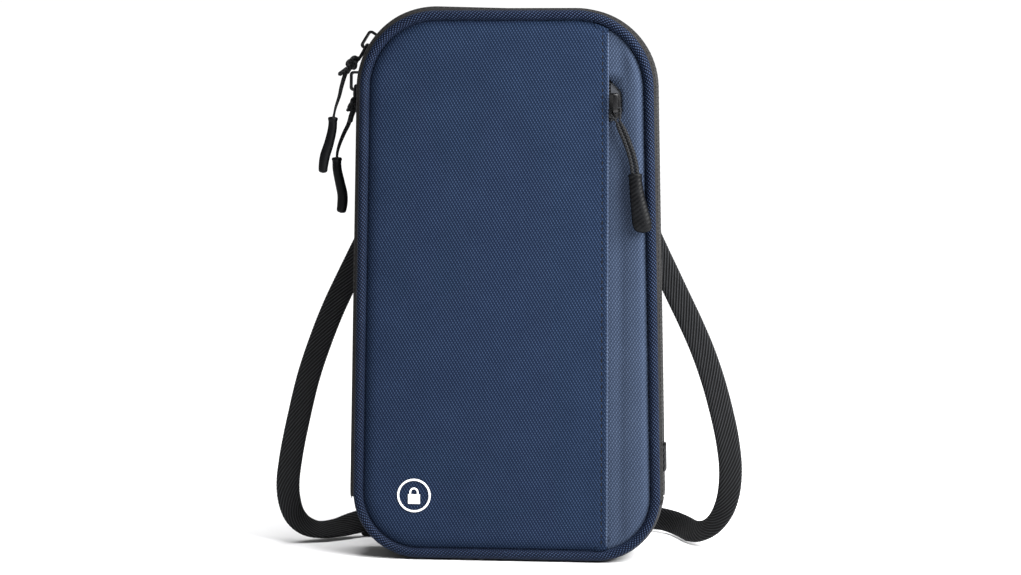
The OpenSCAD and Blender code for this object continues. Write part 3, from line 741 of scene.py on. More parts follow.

# %% [markdown]
# ## Zip tapes and bottom gusset
# The side wall of the pouch is the zip's own tape: one half sewn to the front piping, the other to the back
# piping. Below the zip's ends the wall goes on as one piece of gusset cloth; on the pouch it folds as the cover
# opens, but here it is one fixed mesh.
# Each is a section of points in depth, carried along part of the outline.

# %% Tapes
def wall_along(name, section, material, chosen, closed=True, slack=0.0):
    """section is a list of (inset, y). chosen are the outline's point numbers, in order. The cloth between its
    seams bellies outwards by slack on the left, where the sliders pull at it."""
    rows = []
    for i in chosen:
        (x, z), (nx, nz) = seam_points[i], seam_normals[i]
        belly = slack * np.clip(-x / 45, 0, 1)
        row = []
        for inset, y in section:
            out = inset - belly * math.sin(math.pi * np.clip((abs(y) - 3) / 9.2, 0, 1)) ** 0.8
            row.append([x - nx * out, y, z - nz * out])
        rows.append(row)
    return skin(name, rows, material, round_=closed, caps=closed)


ZIP_END = 24.4
upper = [i for i in range(len(seam_points)) if seam_points[i][1] > ZIP_END]
lower = [i for i in range(len(seam_points)) if seam_points[i][1] <= ZIP_END + 1.0]
split = next(k for k in range(1, len(lower)) if lower[k] - lower[k - 1] > 1)
lower = lower[split:] + lower[:split]
tape_section = [(2.6, 12.2), (1.2, 12.0), (0.45, 11.4), (0.05, 10.2), (-0.12, 8.6), (-0.08, 6.8), (0.1, 5.0),
                (0.3, 3.9), (0.5, 1.5), (0.7, 0.42), (1.05, 0.42), (1.15, 1.5), (1.0, 5.0), (0.7, 8.0),
                (0.9, 10.6), (1.6, 11.5)]
front_tape, back_tape = (
    wall_along(name, [(d, way * y) for d, y in tape_section], zip_tape, upper, slack=1.3)
    for name, way in (("front_tape_cloth", -1), ("back_tape_cloth", 1)))
gusset_section = [(2.4, -12.2), (1.0, -12.0), (0.3, -11.2), (0.05, -9.8), (0.0, -7), (0.0, -4), (0.0, 0),
                  (0.0, 4), (0.0, 7), (0.05, 9.8), (0.3, 11.2), (1.0, 12.0), (2.4, 12.2), (2.2, 11.6),
                  (1.3, 10.8), (1.2, 7), (1.2, 0), (1.2, -7), (1.3, -10.8), (2.2, -11.6)]
gusset = wall_along("bottom_gusset_cloth", gusset_section, gusset_cloth, lower)
print("tapes:", len(front_tape.data.polygons), "faces each; gusset:", len(gusset.data.polygons))

# %% [markdown]
# ## Stitches and zip teeth
# A seam has hundreds of stitches and a zip hundreds of teeth, all alike. Geometry Nodes put one small shape on
# evenly spaced points of a line, so a change of thread or pitch is one number. An ellipsoid does for a stitch,
# because its ends sink into the cloth, and for a tooth, which is a turn of nylon coil seen from outside.

# %% A node tree that sets shapes along a line
BALL_SEGMENTS, BALL_RINGS = 7, 5
SHAPE_FACES = BALL_SEGMENTS * BALL_RINGS


def row_tree(name, follow):
    """follow turns each shape along the line. Otherwise it keeps the model's own axes."""
    tree = bpy.data.node_groups.new(name, "GeometryNodeTree")
    face = tree.interface
    face.new_socket("Line", in_out="INPUT", socket_type="NodeSocketGeometry")
    for label, default in (("Pitch", 0.003), ("Width", 0.0005), ("Depth", 0.0005), ("Length", 0.002),
                           ("Variation", 0.06)):
        socket = face.new_socket(label, in_out="INPUT", socket_type="NodeSocketFloat")
        socket.default_value = default
    face.new_socket("Seed", in_out="INPUT", socket_type="NodeSocketInt")
    face.new_socket("Material", in_out="INPUT", socket_type="NodeSocketMaterial")
    face.new_socket("Shapes", in_out="OUTPUT", socket_type="NodeSocketGeometry")
    add, link = tree.nodes.new, tree.links.new
    given, result = add("NodeGroupInput"), add("NodeGroupOutput")
    points = add("GeometryNodeCurveToPoints")
    points.mode = "LENGTH"
    link(given.outputs["Line"], points.inputs["Curve"])
    link(given.outputs["Pitch"], points.inputs["Length"])
    ball = add("GeometryNodeMeshUVSphere")
    ball.inputs["Segments"].default_value, ball.inputs["Rings"].default_value = BALL_SEGMENTS, BALL_RINGS
    ball.inputs["Radius"].default_value = 0.5
    size = add("ShaderNodeCombineXYZ")
    for axis, label in zip("XYZ", ("Width", "Depth", "Length")):
        link(given.outputs[label], size.inputs[axis])
    shape = add("GeometryNodeTransform")
    link(ball.outputs["Mesh"], shape.inputs["Geometry"])
    link(size.outputs[0], shape.inputs["Scale"])
    vary = add("FunctionNodeRandomValue")
    least, most = add("ShaderNodeMath"), add("ShaderNodeMath")
    least.operation, most.operation = "SUBTRACT", "ADD"
    for node, socket in ((least, "Min"), (most, "Max")):
        node.inputs[0].default_value = 1
        link(given.outputs["Variation"], node.inputs[1])
        link(node.outputs[0], next(s for s in vary.inputs if s.name == socket and s.type == "VALUE"))
    link(given.outputs["Seed"], vary.inputs["Seed"])
    place = add("GeometryNodeInstanceOnPoints")
    link(points.outputs["Points"], place.inputs["Points"])
    link(shape.outputs["Geometry"], place.inputs["Instance"])
    link(next(s for s in vary.outputs if s.type == "VALUE"), place.inputs["Scale"])
    if follow:
        link(points.outputs["Rotation"], place.inputs["Rotation"])
    real, paint = add("GeometryNodeRealizeInstances"), add("GeometryNodeSetMaterial")
    smooth = add("GeometryNodeSetShadeSmooth")
    link(place.outputs["Instances"], real.inputs[0])
    link(real.outputs[0], smooth.inputs[0])
    link(smooth.outputs[0], paint.inputs["Geometry"])
    link(given.outputs["Material"], paint.inputs["Material"])
    link(paint.outputs[0], result.inputs[0])
    return tree


stitch_row, tooth_row = row_tree("stitch_row", True), row_tree("tooth_row", False)


def set_along(name, lines, tree, material, **sizes):
    """Lines are lists of points in millimetres. The result is one plain mesh."""
    curve = bpy.data.curves.new(name + "_lines", "CURVE")
    curve.dimensions = "3D"
    for line in lines:
        spline = curve.splines.new("POLY")
        spline.points.add(len(line) - 1)
        for point, place in zip(spline.points, line):
            point.co = (*(c * MM for c in place), 1)
    guide = bpy.data.objects.new(name + "_lines", curve)
    bpy.context.scene.collection.objects.link(guide)
    maker = guide.modifiers.new("row", "NODES")
    maker.node_group = tree
    sockets = {s.name: s.identifier for s in tree.interface.items_tree if s.in_out == "INPUT"}
    for label, value in sizes.items():
        maker[sockets[label]] = value if label in ("Seed", "Variation") else value * MM
    maker[sockets["Material"]] = material
    graph = bpy.context.evaluated_depsgraph_get()
    mesh = bpy.data.meshes.new_from_object(guide.evaluated_get(graph))
    bpy.data.objects.remove(guide)
    mesh.name = name
    piece = bpy.data.objects.new(name, mesh)
    bpy.context.scene.collection.objects.link(piece)
    return piece


def outline_line(inset, y, chosen, shift=0.0, slack=0.0):
    line = []
    for i in chosen:
        out = inset - slack * np.clip(-seam_points[i][0] / 45, 0, 1)
        x, z = seam_points[i] - seam_normals[i] * out
        line.append([x, y, z])
    if shift:
        path, steps = smooth_path(line, 0.5)
        line = path[np.searchsorted(steps, shift):].tolist()
    return line


# %% Main zip teeth
TOOTH_PITCH = 1.35
front_teeth, back_teeth = (
    set_along(name, [outline_line(0.4, y, upper, shift)], tooth_row, zip_nylon,
              Pitch=TOOTH_PITCH, Width=1.0, Depth=4.0, Length=1.05, Seed=seed, Variation=0.02)
    for name, y, shift, seed in (("front_zip_coil", -1.5, 0.0, 3), ("back_zip_coil", 1.5, TOOTH_PITCH / 2, 4)))
print("teeth:", len(front_teeth.data.polygons) // SHAPE_FACES, "on each side")

# %% Pocket zip under the flap
POCKET_LOW, POCKET_TOP, CHAIN_X = 38, 198, 40.5
pocket_rows = []
for side, shift in ((-1, 0), (1, TOOTH_PITCH / 2)):
    x = CHAIN_X + side * 1.15
    pocket_rows.append([[x, -12.55, POCKET_LOW + shift], [x, -12.55, POCKET_TOP]])
pocket_teeth = set_along("pocket_zip_coil", pocket_rows, tooth_row, zip_nylon,
                         Pitch=TOOTH_PITCH, Width=2.5, Depth=1.0, Length=1.0, Seed=5, Variation=0.02)

# %% Seams that show
def flap_line(away):
    low, high = 6.3, HEIGHT - 6.3
    line = []
    for z in np.arange(low, high, 1.5):
        at = np.array([[FLAP_X - away, z]])
        if depth_inside(at)[0] > PANEL_IN + 0.6:
            line.append([FLAP_X - away, float(panel_front(at)[0]) - 0.02, z])
    return line


flap_stitches = set_along("flap_stitches", [flap_line(2.3)], stitch_row, black_thread,
                          Pitch=2.7, Width=0.5, Depth=0.5, Length=1.9, Seed=7, Variation=0.06)
front_tape_stitches, back_tape_stitches = (
    set_along(name, [outline_line(0.12, y, upper, slack=0.72)], stitch_row, black_thread,
              Pitch=2.4, Width=0.4, Depth=0.4, Length=1.9, Seed=seed, Variation=0.05)
    for name, y, seed in (("front_tape_stitches", -10.6, 8), ("back_tape_stitches", 10.6, 9)))
stitch_faces = len(flap_stitches.data.polygons) + 2 * len(front_tape_stitches.data.polygons)
print("stitches:", stitch_faces // SHAPE_FACES)

# %% [markdown]
# ## Hardware
# The sliders, rings and tabs have their true shape in the CAD model, but knife-sharp edges. Real castings and
# mouldings have small round edges that catch the light. A copy of the CAD mesh is merged and its edges are
# bevelled, which keeps every size and adds only the highlight.

# %% CAD shapes with softened edges
def softened(node, name, material, radius=0.25, segments=2, sharp=25):
    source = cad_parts[node]
    work = bmesh.new()
    work.from_mesh(source.data)
    bmesh.ops.remove_doubles(work, verts=work.verts, dist=1e-6)
    bmesh.ops.dissolve_limit(work, angle_limit=math.radians(1), verts=work.verts, edges=work.edges)
    edges = [e for e in work.edges if e.is_manifold and e.calc_face_angle(0) > math.radians(sharp)]
    bmesh.ops.bevel(work, geom=edges, offset=radius * MM, offset_type="OFFSET", segments=segments, profile=0.5,
                    affect="EDGES", clamp_overlap=True)
    mesh = bpy.data.meshes.new(name)
    work.to_mesh(mesh)
    work.free()
    mesh.polygons.foreach_set("use_smooth", [True] * len(mesh.polygons))
    mesh.set_sharp_from_angle(angle=math.radians(50))
    mesh.materials.append(material)
    piece = bpy.data.objects.new(name, mesh)
    bpy.context.scene.collection.objects.link(piece)
    return piece


hard_pieces = [
    ("lower_slider", "lower_slider_casting", "lower_slider", black_metal, "black_metal", 0.28),
    ("upper_slider", "upper_slider_casting", "upper_slider", black_metal, "black_metal", 0.28),
    ("pocket_slider", "pocket_slider_casting", "pocket_slider", black_metal, "black_metal", 0.28),
    ("strap_ring_left", "strap_ring_left_moulding", "pouch_back", black_plastic, "black_plastic", 0.45),
    ("strap_ring_right", "strap_ring_right_moulding", "pouch_back", black_plastic, "black_plastic", 0.45),
    ("strap_adjuster", "strap_adjuster_moulding", "pouch_back", black_plastic, "black_plastic", 0.5),
]
softened_pieces = {}
for node, name, body, material, slot, radius in hard_pieces:
    softened_pieces[node] = (softened(node, name, material, radius), body, slot)
print("softened:", ", ".join(softened_pieces))

# %% [markdown]
# ## Pulls
# Each pull is a cord looped through its slider's bridge, knotted below it, and moulded into a rubber grip. On
# the two main pulls the knot is chunky, with its cut ends standing out. A knot is a curve in space, so a
# formula gives one: a trefoil, the closed form of an overhand knot, flattened to lie against the wearer.

# %% Knots and joined meshes
def joined(name, pieces):
    work, materials = bmesh.new(), []
    for piece in pieces:
        start = len(work.faces)
        work.from_mesh(piece.data)
        material = piece.data.materials[0]
        if material not in materials:
            materials.append(material)
        work.faces.ensure_lookup_table()
        for face in work.faces[start:]:
            face.material_index = materials.index(material)
    mesh = bpy.data.meshes.new(name)
    work.to_mesh(mesh)
    work.free()
    for material in materials:
        mesh.materials.append(material)
    for piece in pieces:
        bpy.data.objects.remove(piece)
    whole = bpy.data.objects.new(name, mesh)
    bpy.context.scene.collection.objects.link(whole)
    return whole


def overhand_knot(name, centre, along, width, length, radius, depth=1.5):
    """A trefoil, as long as length in the direction along (x, z) and width across it."""
    along = unit(np.array([along[0], 0.0, along[1]]))
    across, front = np.array([along[2], 0, -along[0]]), np.array([0, -1.0, 0])
    t = np.linspace(0, 2 * math.pi, 40)
    a = (np.sin(t) + 2 * np.sin(2 * t)) / 2.6
    b = (np.cos(t) - 2 * np.cos(2 * t)) / 3.0
    c = -np.sin(3 * t)
    points = (np.array(centre) + np.outer(b * (length / 2 - radius), along)
              + np.outer(a * (width / 2 - radius), across) + np.outer(c * depth / 2, front))
    return cord_mesh(name, points, radius, pull_cord, 0.3, 10)


def side_by_side(name, points, apart, radius):
    """Two strands that run together, and turn slowly round each other."""
    path, steps = smooth_path(points, 1.0)
    t, n = frames_along(path[:, :3], (0, -1, 0))
    s = np.cross(t, n)
    turn = steps / 34 * math.pi
    offset = s * np.cos(turn)[:, None] + n * np.sin(turn)[:, None]
    return [cord_mesh(f"{name}_{k}", path[:, :3] + sign * apart * offset, radius, pull_cord, 0.4, 10)
            for k, sign in enumerate((-1, 1))]


def bridge_loop(name, pivot, axis, target, radius=0.56, near=0.6):
    """Up from the knot, through the bridge, and back."""
    pivot, axis, target = (np.array(v, float) for v in (pivot, axis, target))
    down = target - pivot
    down = unit(down - axis * (down @ axis))
    below = pivot + 2.8 * down
    up = pivot - 0.25 * down
    wide = 1.75 * axis
    points = [target - near * axis, below - wide, pivot - wide, up - wide * 0.6, up + wide * 0.6, pivot + wide,
              below + wide, target + near * axis]
    return cord_mesh(name, points, radius, pull_cord, 0.25, 10)


# %% The two main pulls
lower_tail = [[-67.0, 1.5, 183.0], [-67.9, 1.8, 180.4], [-69.6, 2.2, 177.2], [-71.8, 2.4, 172],
              [-72.7, 2.4, 168.6], [-72.9, 2.4, 165.5]]
upper_tail = [[-67.4, -3.0, 203.4], [-68.4, -3.6, 200.8], [-69.6, -4.1, 196.6], [-70.6, -4.2, 192.4],
              [-72.2, -4.2, 187.6], [-73.3, -4.2, 182.6]]
lower_cord = joined("lower_pull_braid", [
    bridge_loop("a", (-64.268, 0, 196.501), (0, 1, 0), (-64.9, 0.8, 192.0)),
    overhand_knot("b", (-65.4, 1.0, 188.6), (-0.22, -1), 5.0, 7.6, 0.95, 2.2),
    cord_mesh("c", [[-65.2, 0.3, 186.8], [-66.2, -0.3, 184.2], [-66.9, -0.5, 181.2]], 1.15, pull_cord),
    cord_mesh("d", [[-65.8, 0.2, 187.0], [-67.3, -0.4, 186.7], [-68.4, -0.6, 186.4]], 0.75, pull_cord),
    *side_by_side("e", lower_tail, 0.42, 0.5)])
upper_cord = joined("upper_pull_braid", [
    bridge_loop("a", (-59.450, 0, 213.490), (0, 1, 0), (-62.6, -1.0, 208.0)),
    cord_mesh("f", [[-62.2, -0.9, 208.6], [-63.4, -1.3, 207.6], [-64.4, -1.7, 206.8]], 0.95, pull_cord),
    overhand_knot("b", (-65.3, -1.9, 206.2), (-0.6, -1), 5.2, 6.8, 0.95, 2.2),
    cord_mesh("c", [[-66.6, -3.2, 204.4], [-68.8, -3.9, 202.7], [-71.0, -4.2, 201.1]], 0.95, pull_cord),
    cord_mesh("d", [[-65.6, -3.0, 204.4], [-66.7, -3.6, 202.7], [-67.3, -3.8, 201.6]], 0.65, pull_cord),
    *side_by_side("e", upper_tail, 0.42, 0.5)])


def moulded_grip(name, points, ridges=0.0, ridge_pitch=1.5, lip=0.18):
    """An oval grip: x, y, z, half width and half thickness. Ridges lean across its front."""
    path, steps = smooth_path(points, 0.3)
    centre, width, thick = path[:, :3], path[:, 3], path[:, 4]
    t, n = frames_along(centre, (0, -1, 0))
    s = np.cross(t, n)
    a = np.linspace(0, 2 * math.pi, 28, endpoint=False)
    low = np.minimum(steps / 0.5, 1)
    end = np.minimum((steps[-1] - steps) / 1.1, 1)
    soft = np.sqrt(1 - (1 - np.minimum(low, end)) ** 2).clip(0.05)
    collar = 1 + lip * np.exp(-((steps - 1.0) / 0.7) ** 2)
    rows = []
    for i in range(len(steps)):
        lean = steps[i] - 0.55 * width[i] * np.sin(a)
        ridge = 1 + ridges * np.clip(np.sin(2 * math.pi * lean / ridge_pitch), -0.2, 1)
        w, h = width[i] * soft[i] * collar[i], thick[i] * soft[i] * collar[i] * ridge
        rows.append(centre[i] + np.outer(np.cos(a) * h, n[i]) + np.outer(np.sin(a) * w, s[i]))
    return skin(name, rows, grip_rubber, caps=True)


lower_grip = moulded_grip("lower_pull_rubber", [
    [-72.9, 2.4, 167.0, 1.85, 1.65], [-72.8, 2.4, 162, 1.95, 1.7], [-71.6, 2.4, 156, 2.1, 1.75],
    [-70.6, 2.4, 151, 2.2, 1.8], [-70.7, 2.4, 147, 2.2, 1.8], [-71.3, 2.4, 143.4, 1.95, 1.7]])
upper_grip = moulded_grip("upper_pull_rubber", [
    [-73.3, -4.2, 184.0, 1.75, 1.65], [-73.6, -4.2, 179, 1.9, 1.7], [-75, -4.2, 173, 2.05, 1.75],
    [-76.8, -4.2, 167.4, 2.15, 1.8], [-77.5, -4.2, 163.4, 2.0, 1.75], [-77.7, -4.2, 160.4, 1.8, 1.6]])

# %% The pocket's pull
pocket_line = [[46.2, -16.4, 182.6], [47.6, -17.0, 179.6], [49.8, -17.4, 174.6], [51.6, -17.7, 169.6],
               [52.8, -17.9, 164.8], [53.3, -18.0, 160.6]]
pocket_strands = [cord_mesh(f"s{k}", [[x + sign * (0.62 + 0.3 * min(i, 1)), y, z, 0.58 + 0.3 * min(i, 1)]
                                      for i, (x, y, z) in enumerate(pocket_line)], 0.56, pull_cord, 0.4, 12)
                  for k, sign in enumerate((-1, 1))]
pocket_cord = joined("pocket_pull_braid", [
    bridge_loop("a", (45.2, -15.65, 187.75), (1, 0, 0), (46.2, -16.4, 182.4), near=0.62), *pocket_strands])
pocket_grip = moulded_grip("pocket_pull_rubber", [
    [53.3, -18, 161.6, 2.55, 1.6], [53.6, -18, 157, 2.75, 1.8], [54.4, -18, 151, 3.1, 1.9],
    [55.4, -18, 145.4, 3.6, 1.95], [56.2, -18, 141, 3.9, 1.95], [56.6, -18, 138.7, 3.3, 1.75],
    [56.7, -18, 137.2, 1.8, 1.2]], ridges=0.10, ridge_pitch=1.7, lip=0.1)
print("pulls:", sum(len(p.data.polygons) for p in (lower_cord, upper_cord, pocket_cord)), "faces of cord")

# %% [markdown]
# ## Inside
# When the cover is down, the lining shows: a smooth cloth that turns up at its edge to meet the zip tape, with
# three card slots and a pen loop on the back and a passport sleeve on the front. A slot is a flat piece of
# lining with its top edge bound in ribbon, so each is a thin rounded sheet and a small folded band.

# %% Linings that turn up at the edge
def lining_tray(name, profile, material):
    """profile is a list of (inset, y) from the tape to the flat middle. Both sides of the cloth are made."""
    rings = [[(p - n * inset).tolist() + [y] for p, n in zip(seam_points, seam_normals)]
             for inset, y in profile]
    n = len(seam_points)
    vertices = [[x, y, z] for ring in rings for x, z, y in ring]
    faces = []
    for k in range(len(rings) - 1):
        low, high = k * n, (k + 1) * n
        faces += [[low + i, low + (i + 1) % n, high + (i + 1) % n, high + i] for i in range(n)]
    faces.append(list(range(n))[::-1])
    faces.append([(len(rings) - 1) * n + i for i in range(n)])
    return make_object(name, vertices, faces, None, material, heal=True, smooth=False)


back_lining = lining_tray("back_lining_cloth", [
    (5.6, 10.68), (2.4, 11.1), (1.35, 11.35), (1.25, 11.15), (2.3, 10.8), (3.8, 10.4), (5.4, 10.12),
    (7.0, 10.1)],
    lining_cloth)
front_lining = lining_tray("front_lining_cloth", [
    (5.6, -7.75), (3.0, -9.6), (1.4, -11.2), (1.25, -11.0), (2.2, -9.9), (3.6, -8.4), (5.2, -7.35),
    (7.0, -7.2)],
    lining_cloth)


# %% Slots, sleeve and their bindings
def flat_pocket(name, half_width, low, high, y, out, thick=0.5, corner=3.0):
    """A thin sheet with round corners, lifted a little along its open top edge."""
    corners = []
    for cx, cz, a0 in ((half_width - corner, low + corner, -90), (half_width - corner, high - corner, 0),
                       (-half_width + corner, high - corner, 90), (-half_width + corner, low + corner, 180)):
        turns = [math.radians(a0 + a) for a in range(0, 91, 15)]
        corners += [[cx + corner * math.cos(a), cz + corner * math.sin(a)] for a in turns]
    inner_points = [[x, z] for x in np.arange(-half_width + 6, half_width - 5, 8)
                    for z in np.arange(low + 6, high - 5, 8)]

    def face(plan):
        top = np.clip((plan[:, 1] - high + 16) / 16, 0, 1)
        bow = 1 - (plan[:, 0] / half_width) ** 2
        return y + out * 0.25 * top ** 2 * bow

    def under(plan):
        return face(plan) - thick

    sides = (under, face) if out < 0 else (face, under)
    edge = [np.array(c) for c in corners]
    piece = pad(name, edge, [np.array(p) for p in inner_points], *sides, lining_cloth)[0]
    z = high - 0.2
    xs = np.linspace(-half_width + 2.6, half_width - 2.6, 60)
    bow = 0.25 * (1 - (xs / half_width) ** 2) * out
    rows = []
    for x, lift in zip(xs, bow):
        mid = y + lift - thick / 2
        rows.append([[x, mid + dy, z + dz] for dy, dz in
                     ((-0.42, -2.6), (-0.46, -0.4), (-0.25, 0.25), (0.25, 0.25), (0.46, -0.4), (0.42, -2.6))])
    band = skin(name + "_binding", rows, binding_tape, caps=True)
    line = [[x, row[0][1] - 0.02 if out < 0 else row[5][1] + 0.02, z - 2.0] for x, row in zip(xs, rows)]
    stitches = set_along(name + "_stitches", [line], stitch_row, sewing_thread, Pitch=2.4, Width=0.34,
                         Depth=0.34, Length=1.9, Seed=21, Variation=0.05)
    return joined(name, [piece, band, stitches])


slots = {node: flat_pocket(node + "_cloth", 50, 14, top, y, -1) for node, top, y in (
    ("card_slot_upper", 110, 10.08), ("card_slot_middle", 88, 9.48), ("card_slot_lower", 66, 8.88))}
sleeve = flat_pocket("passport_sleeve_cloth", 48, 14, 135, -6.65, 1)
print("pockets inside:", len(slots) + 1)


# %% Pen loop
def pen_loop():
    """Elastic webbing, sewn down at both sides and arched over the pen."""
    rows = []
    for z in np.linspace(150, 170, 24):
        outer = [[36.2, 10.05], [36.2, 9.5], [38.2, 9.1], [39.4, 7.4], [41.2, 6.35], [43, 6.15], [44.8, 6.35],
                 [46.6, 7.4], [47.8, 9.1], [49.8, 9.5], [49.8, 10.05]]
        inside = [[47.0, 9.95], [46.6, 9.3], [45.6, 7.9], [44.2, 7.1], [43, 6.95], [41.8, 7.1], [40.4, 7.9],
                  [39.4, 9.3], [39.0, 9.95]]
        rows.append([[x, y, z] for x, y in outer + inside])
    return skin("pen_loop_elastic", rows, elastic, caps=True)


pen_elastic = pen_loop()

# %% [markdown]
# ## The strap's fittings
# Each ring hangs in a folded tab of webbing sewn to the back, and the strap goes round the ring and is sewn to
# itself. The spare strap is folded to and fro and tied with an elastic band.

# %% Tabs over the rings and the strap's sewn ends
def sewn_box(name, origin, up, across, half, low, high, lift, seed):
    """A box with a cross in it, the way webbing is sewn down."""
    corners = [(-half, low), (half, low), (half, high), (-half, high)]
    lines = []
    for i, j in ((0, 1), (1, 2), (2, 3), (3, 0), (0, 2), (1, 3)):
        a, b = corners[i], corners[j]
        lines.append([(origin + (a[1] + (b[1] - a[1]) * k / 8) * up + (a[0] + (b[0] - a[0]) * k / 8) * across
                       + np.array([0, lift, 0])).tolist() for k in range(9)])
    return set_along(name + "_stitches", lines, stitch_row, black_thread, Pitch=1.9, Width=0.42, Depth=0.42,
                     Length=1.5, Seed=seed, Variation=0.05)


def strap_tab(name, x0, lean):
    """A tab folded over the ring's upper bar, with its two layers sewn to the back."""
    angle = math.radians(lean)
    along = np.array([math.sin(angle), 0, math.cos(angle)])
    across = np.array([math.cos(angle), 0, -math.sin(angle)])
    origin = np.array([x0, 0.0, 143.0])
    track = [(22.4, 16.2), (17, 16.2), (11.5, 16.2), (9.0, 15.95), (6.9, 15.7), (5.5, 16.0), (5.05, 16.9),
             (5.5, 17.8), (6.9, 18.15), (9.0, 17.9), (11.5, 17.35), (17, 17.3), (22.4, 17.3)]
    path, steps = smooth_path([(origin + up * along + np.array([0, y, 0])).tolist() for up, y in track], 0.4)
    t = unit(np.gradient(path, axis=0))
    face = np.cross(t, across)
    band = ribbon(name, path, face, steps, STRAP_W, 1.0, webbing, 0.03)
    stitches = sewn_box(name, origin, along, across, 3.6, 12.4, 21.0, 17.83, 31)
    return joined(name, [band, stitches])


left_tab = strap_tab("strap_anchor_left_webbing", -57, 26)
right_tab = strap_tab("strap_anchor_right_webbing", 53, -26)


def sewn_end(name, end, direction):
    """The strap's end, brought round the ring's lower bar and sewn down on the strap."""
    down = unit(np.array(direction, float))
    across = unit(np.cross(down, [0, 1.0, 0]))
    end = np.array(end, float)
    track = [(2.2, -0.25), (0.2, -0.95), (-1.4, -0.75), (-1.95, 0.2), (-1.5, 1.3), (0.2, 1.75), (3.2, 1.7),
             (7, 1.55), (13, 1.55), (19, 1.55)]
    path, steps = smooth_path([(end + s * down + np.array([0, y, 0])).tolist() for s, y in track], 0.4)
    t = unit(np.gradient(path, axis=0))
    band = ribbon(name, path, np.cross(t, across), steps, STRAP_W, 1.2, webbing, 0.03)
    stitches = sewn_box(name, end, down, across, 3.4, 8, 17, 2.2, 33)
    return joined(name, [band, stitches])


left_end = sewn_end("strap_end_left", strap_centre[0], strap_centre[30] - strap_centre[0])
right_end = sewn_end("strap_end_right", strap_centre[-1], strap_centre[-31] - strap_centre[-1])


# %% The tie round the hank and the tabs over the zip's ends
def tie():
    low_y = HANK_Y - STRAP_T / 2 - 0.7
    high_y = HANK_Y + HANK_PITCH * (HANK_RUNS - 1) + STRAP_T / 2 + 0.7
    low_z, high_z = 1.6, 10.4
    path = []
    for cy, cz, a0 in ((high_y - 1, low_z, -90), (high_y - 1, high_z, 0), (low_y + 1, high_z, 90),
                       (low_y + 1, low_z, 180)):
        turns = [math.radians(a0 + a) for a in range(0, 91, 15)]
        path += [[0, cy + math.cos(a), cz + math.sin(a)] for a in turns]
    rows = []
    for p in np.array(path):
        out = unit(p - [0, np.clip(p[1], low_y + 1, high_y - 1), np.clip(p[2], low_z, high_z)])
        rows.append([(p + np.array([x, 0, 0]) + out * d).tolist() for x, d in
                     ((-4.9, 0.0), (-4.6, 0.42), (-2.4, 0.5), (0, 0.46), (2.4, 0.5), (4.6, 0.42), (4.9, 0.0),
                      (4.5, -0.35), (0, -0.4), (-4.5, -0.35))])
    return skin("hank_tie_elastic", rows, elastic, loop=True)


hank_elastic = tie()


def zip_tab(name, side):
    chosen = [i for i, (x, z) in enumerate(seam_points) if 36.5 < z < 48.5 and x * side > 0]
    section = [(0.4, -6.0), (-0.5, -6.1), (-1.05, -5.5), (-1.2, -3), (-1.25, 0), (-1.2, 3), (-1.05, 5.5),
               (-0.5, 6.1), (0.4, 6.0), (-0.1, 3), (-0.45, 0), (-0.4, -3)]
    return wall_along(name, section, webbing, chosen)


left_zip_tab, right_zip_tab = zip_tab("zip_end_tab_left_webbing", -1), zip_tab("zip_end_tab_right_webbing", 1)

# %% Finishes for the CAD solids that stay
for node, material in (("back_foam_board", foam_board), ("front_foam_board", foam_board),
                       ("back_rfid_foil", rfid_foil), ("front_rfid_foil", rfid_foil),
                       ("pocket_lining", lining_cloth), ("pocket_zip_tape", lining_cloth),
                       ("padlock_mark", white_print)):
    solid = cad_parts[node]
    solid.data.materials.clear()
    solid.data.materials.append(material)

# %% [markdown]
# ## Studio
# A pale floor that runs back out of sight, a broad light from overhead, and a soft light from the right in
# front, which lights the right piping and leaves the left side darker. Big lights give the soft shadows that
# show how the pouch and its strap stand on the floor. The backdrop is white where it is seen, and lights the
# pouch only a little.

# %% Floor and lights
def studio_floor():
    f = Finish("studio_floor", flat=True)
    dust = f.cloud(60, 2)
    colour = f.colours(dust, (0.0, (0.79, 0.79, 0.795)), (1.0, (0.82, 0.82, 0.825)))
    material = f.finish(colour, f.span(dust, 0.8, 0.9), dust, 0.01, Specular_IOR_Level=0.1)
    size = 9000
    floor = skin("studio_floor", [[[-size, -size, 0], [size, -size, 0]], [[-size, size, 0], [size, size, 0]]],
                 material, round_=False)
    return floor


def studio_light(kind, name, place, power, size):
    """A light at a place in metres, aimed at the pouch. A sun's size is the angle it fills, in degrees."""
    data = bpy.data.lights.new(name, kind)
    data.energy = power
    if kind == "SUN":
        data.angle = math.radians(size)
    else:
        data.shape, data.size = "DISK", size
    light = bpy.data.objects.new(name, data)
    light.location = Vector(place)
    light.rotation_mode = "QUATERNION"
    light.rotation_quaternion = (Vector(place) - Vector((0, 0, 0.11))).to_track_quat("Z", "Y")
    bpy.context.scene.collection.objects.link(light)
    return light


studio_floor()
studio_light("SUN", "overhead_light", (0.22, -0.14, 1.4), 4.1, 42)
studio_light("AREA", "key_light", (0.40, -0.30, 0.38), 10.2, 0.42)
world = bpy.data.worlds.new("studio_air")
world.use_nodes = True
air = world.node_tree
backdrop, air_light, mix, path = (air.nodes.new(kind) for kind in (
    "ShaderNodeBackground", "ShaderNodeBackground", "ShaderNodeMixShader", "ShaderNodeLightPath"))
backdrop.inputs["Strength"].default_value, air_light.inputs["Strength"].default_value = 1.05, 0.16
for background in (backdrop, air_light):
    background.inputs["Color"].default_value = (1, 1, 1, 1)
air.links.new(path.outputs["Is Camera Ray"], mix.inputs[0])
air.links.new(air_light.outputs[0], mix.inputs[1])
air.links.new(backdrop.outputs[0], mix.inputs[2])
air.links.new(mix.outputs[0], air.nodes["World Output"].inputs["Surface"])
bpy.context.scene.world = world
bpy.context.scene.view_settings.view_transform = "Standard"
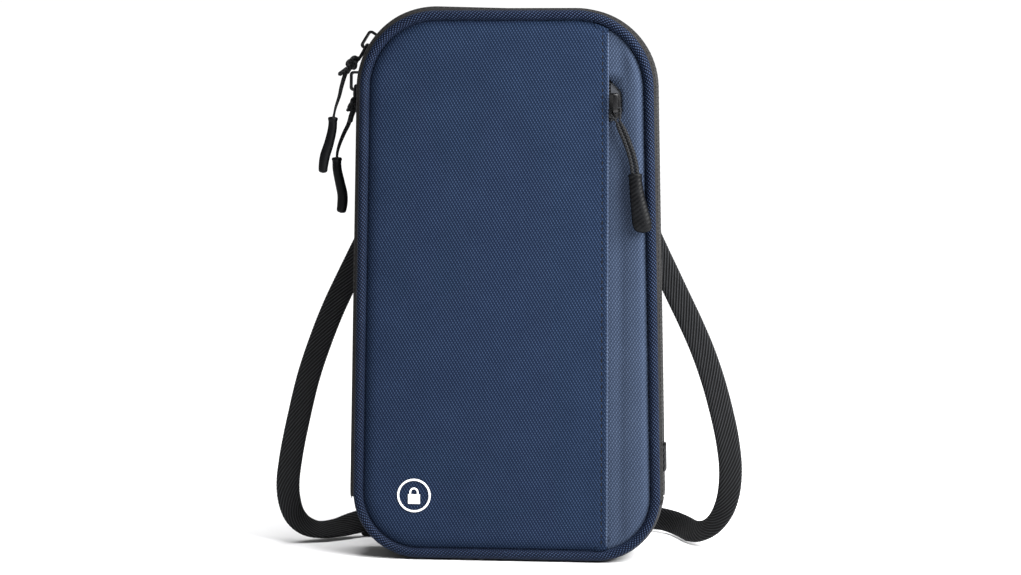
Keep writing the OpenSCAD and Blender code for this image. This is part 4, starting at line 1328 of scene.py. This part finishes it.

# %% [markdown]
# ## Attaching the pieces
# Each piece is attached to the body of the model it moves with, and the CAD solids it stands for are hidden.

# %% What each piece rides on
def stand_in(piece, body, slot, *nodes):
    if nodes:
        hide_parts(*nodes)
    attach(piece, body)
    return piece


cover, back = "front_cover", "pouch_back"
stand_in(neck_strap, back, "webbing", "strap_left", "strap_right", "strap_hank")
stand_in(front_panel, cover, "navy_twill", "front_panel")
stand_in(front_strip, cover, "navy_strip", "front_strip")
stand_in(front_piping, cover, "navy_piping", "front_piping")
stand_in(front_tape, cover, "zip_tape", "front_zip_tape")
stand_in(front_teeth, cover, "zip_teeth", "front_zip_teeth")
stand_in(pocket_teeth, cover, "zip_teeth", "pocket_zip_teeth")
stand_in(front_lining, cover, "lining_cloth", "front_lining")
stand_in(sleeve, cover, "lining_cloth", "passport_sleeve")
stand_in(flap_stitches, cover, "navy_twill")
stand_in(flap_fold, cover, "navy_strip")
stand_in(front_tape_stitches, cover, "zip_tape")
stand_in(back_panel, back, "navy_twill", "back_panel")
stand_in(back_piping, back, "navy_piping", "back_piping")
stand_in(back_tape, back, "zip_tape", "back_zip_tape")
stand_in(back_teeth, back, "zip_teeth", "back_zip_teeth")
stand_in(back_tape_stitches, back, "zip_tape")
stand_in(back_lining, back, "lining_cloth", "back_lining")
for node, slot_cloth in slots.items():
    stand_in(slot_cloth, back, "lining_cloth", node)
stand_in(pen_elastic, back, "elastic", "pen_loop")
stand_in(left_tab, back, "webbing", "strap_anchor_left")
stand_in(right_tab, back, "webbing", "strap_anchor_right")
stand_in(hank_elastic, back, "elastic", "hank_tie")
stand_in(left_zip_tab, back, "webbing", "zip_end_tab_left")
stand_in(right_zip_tab, back, "webbing", "zip_end_tab_right")
for node, (piece, body, finish_slot) in softened_pieces.items():
    stand_in(piece, body, finish_slot, node)
for name, braid_cord, rubber in (("lower_pull", lower_cord, lower_grip), ("upper_pull", upper_cord, upper_grip),
                                 ("pocket_pull", pocket_cord, pocket_grip)):
    stand_in(braid_cord, name, "pull_cord", name + "_cord")
    stand_in(rubber, name, "grip_rubber", name + "_grip")
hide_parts("bottom_gusset")
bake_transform(gusset)
for end in (left_end, right_end):
    stand_in(end, back, "webbing")
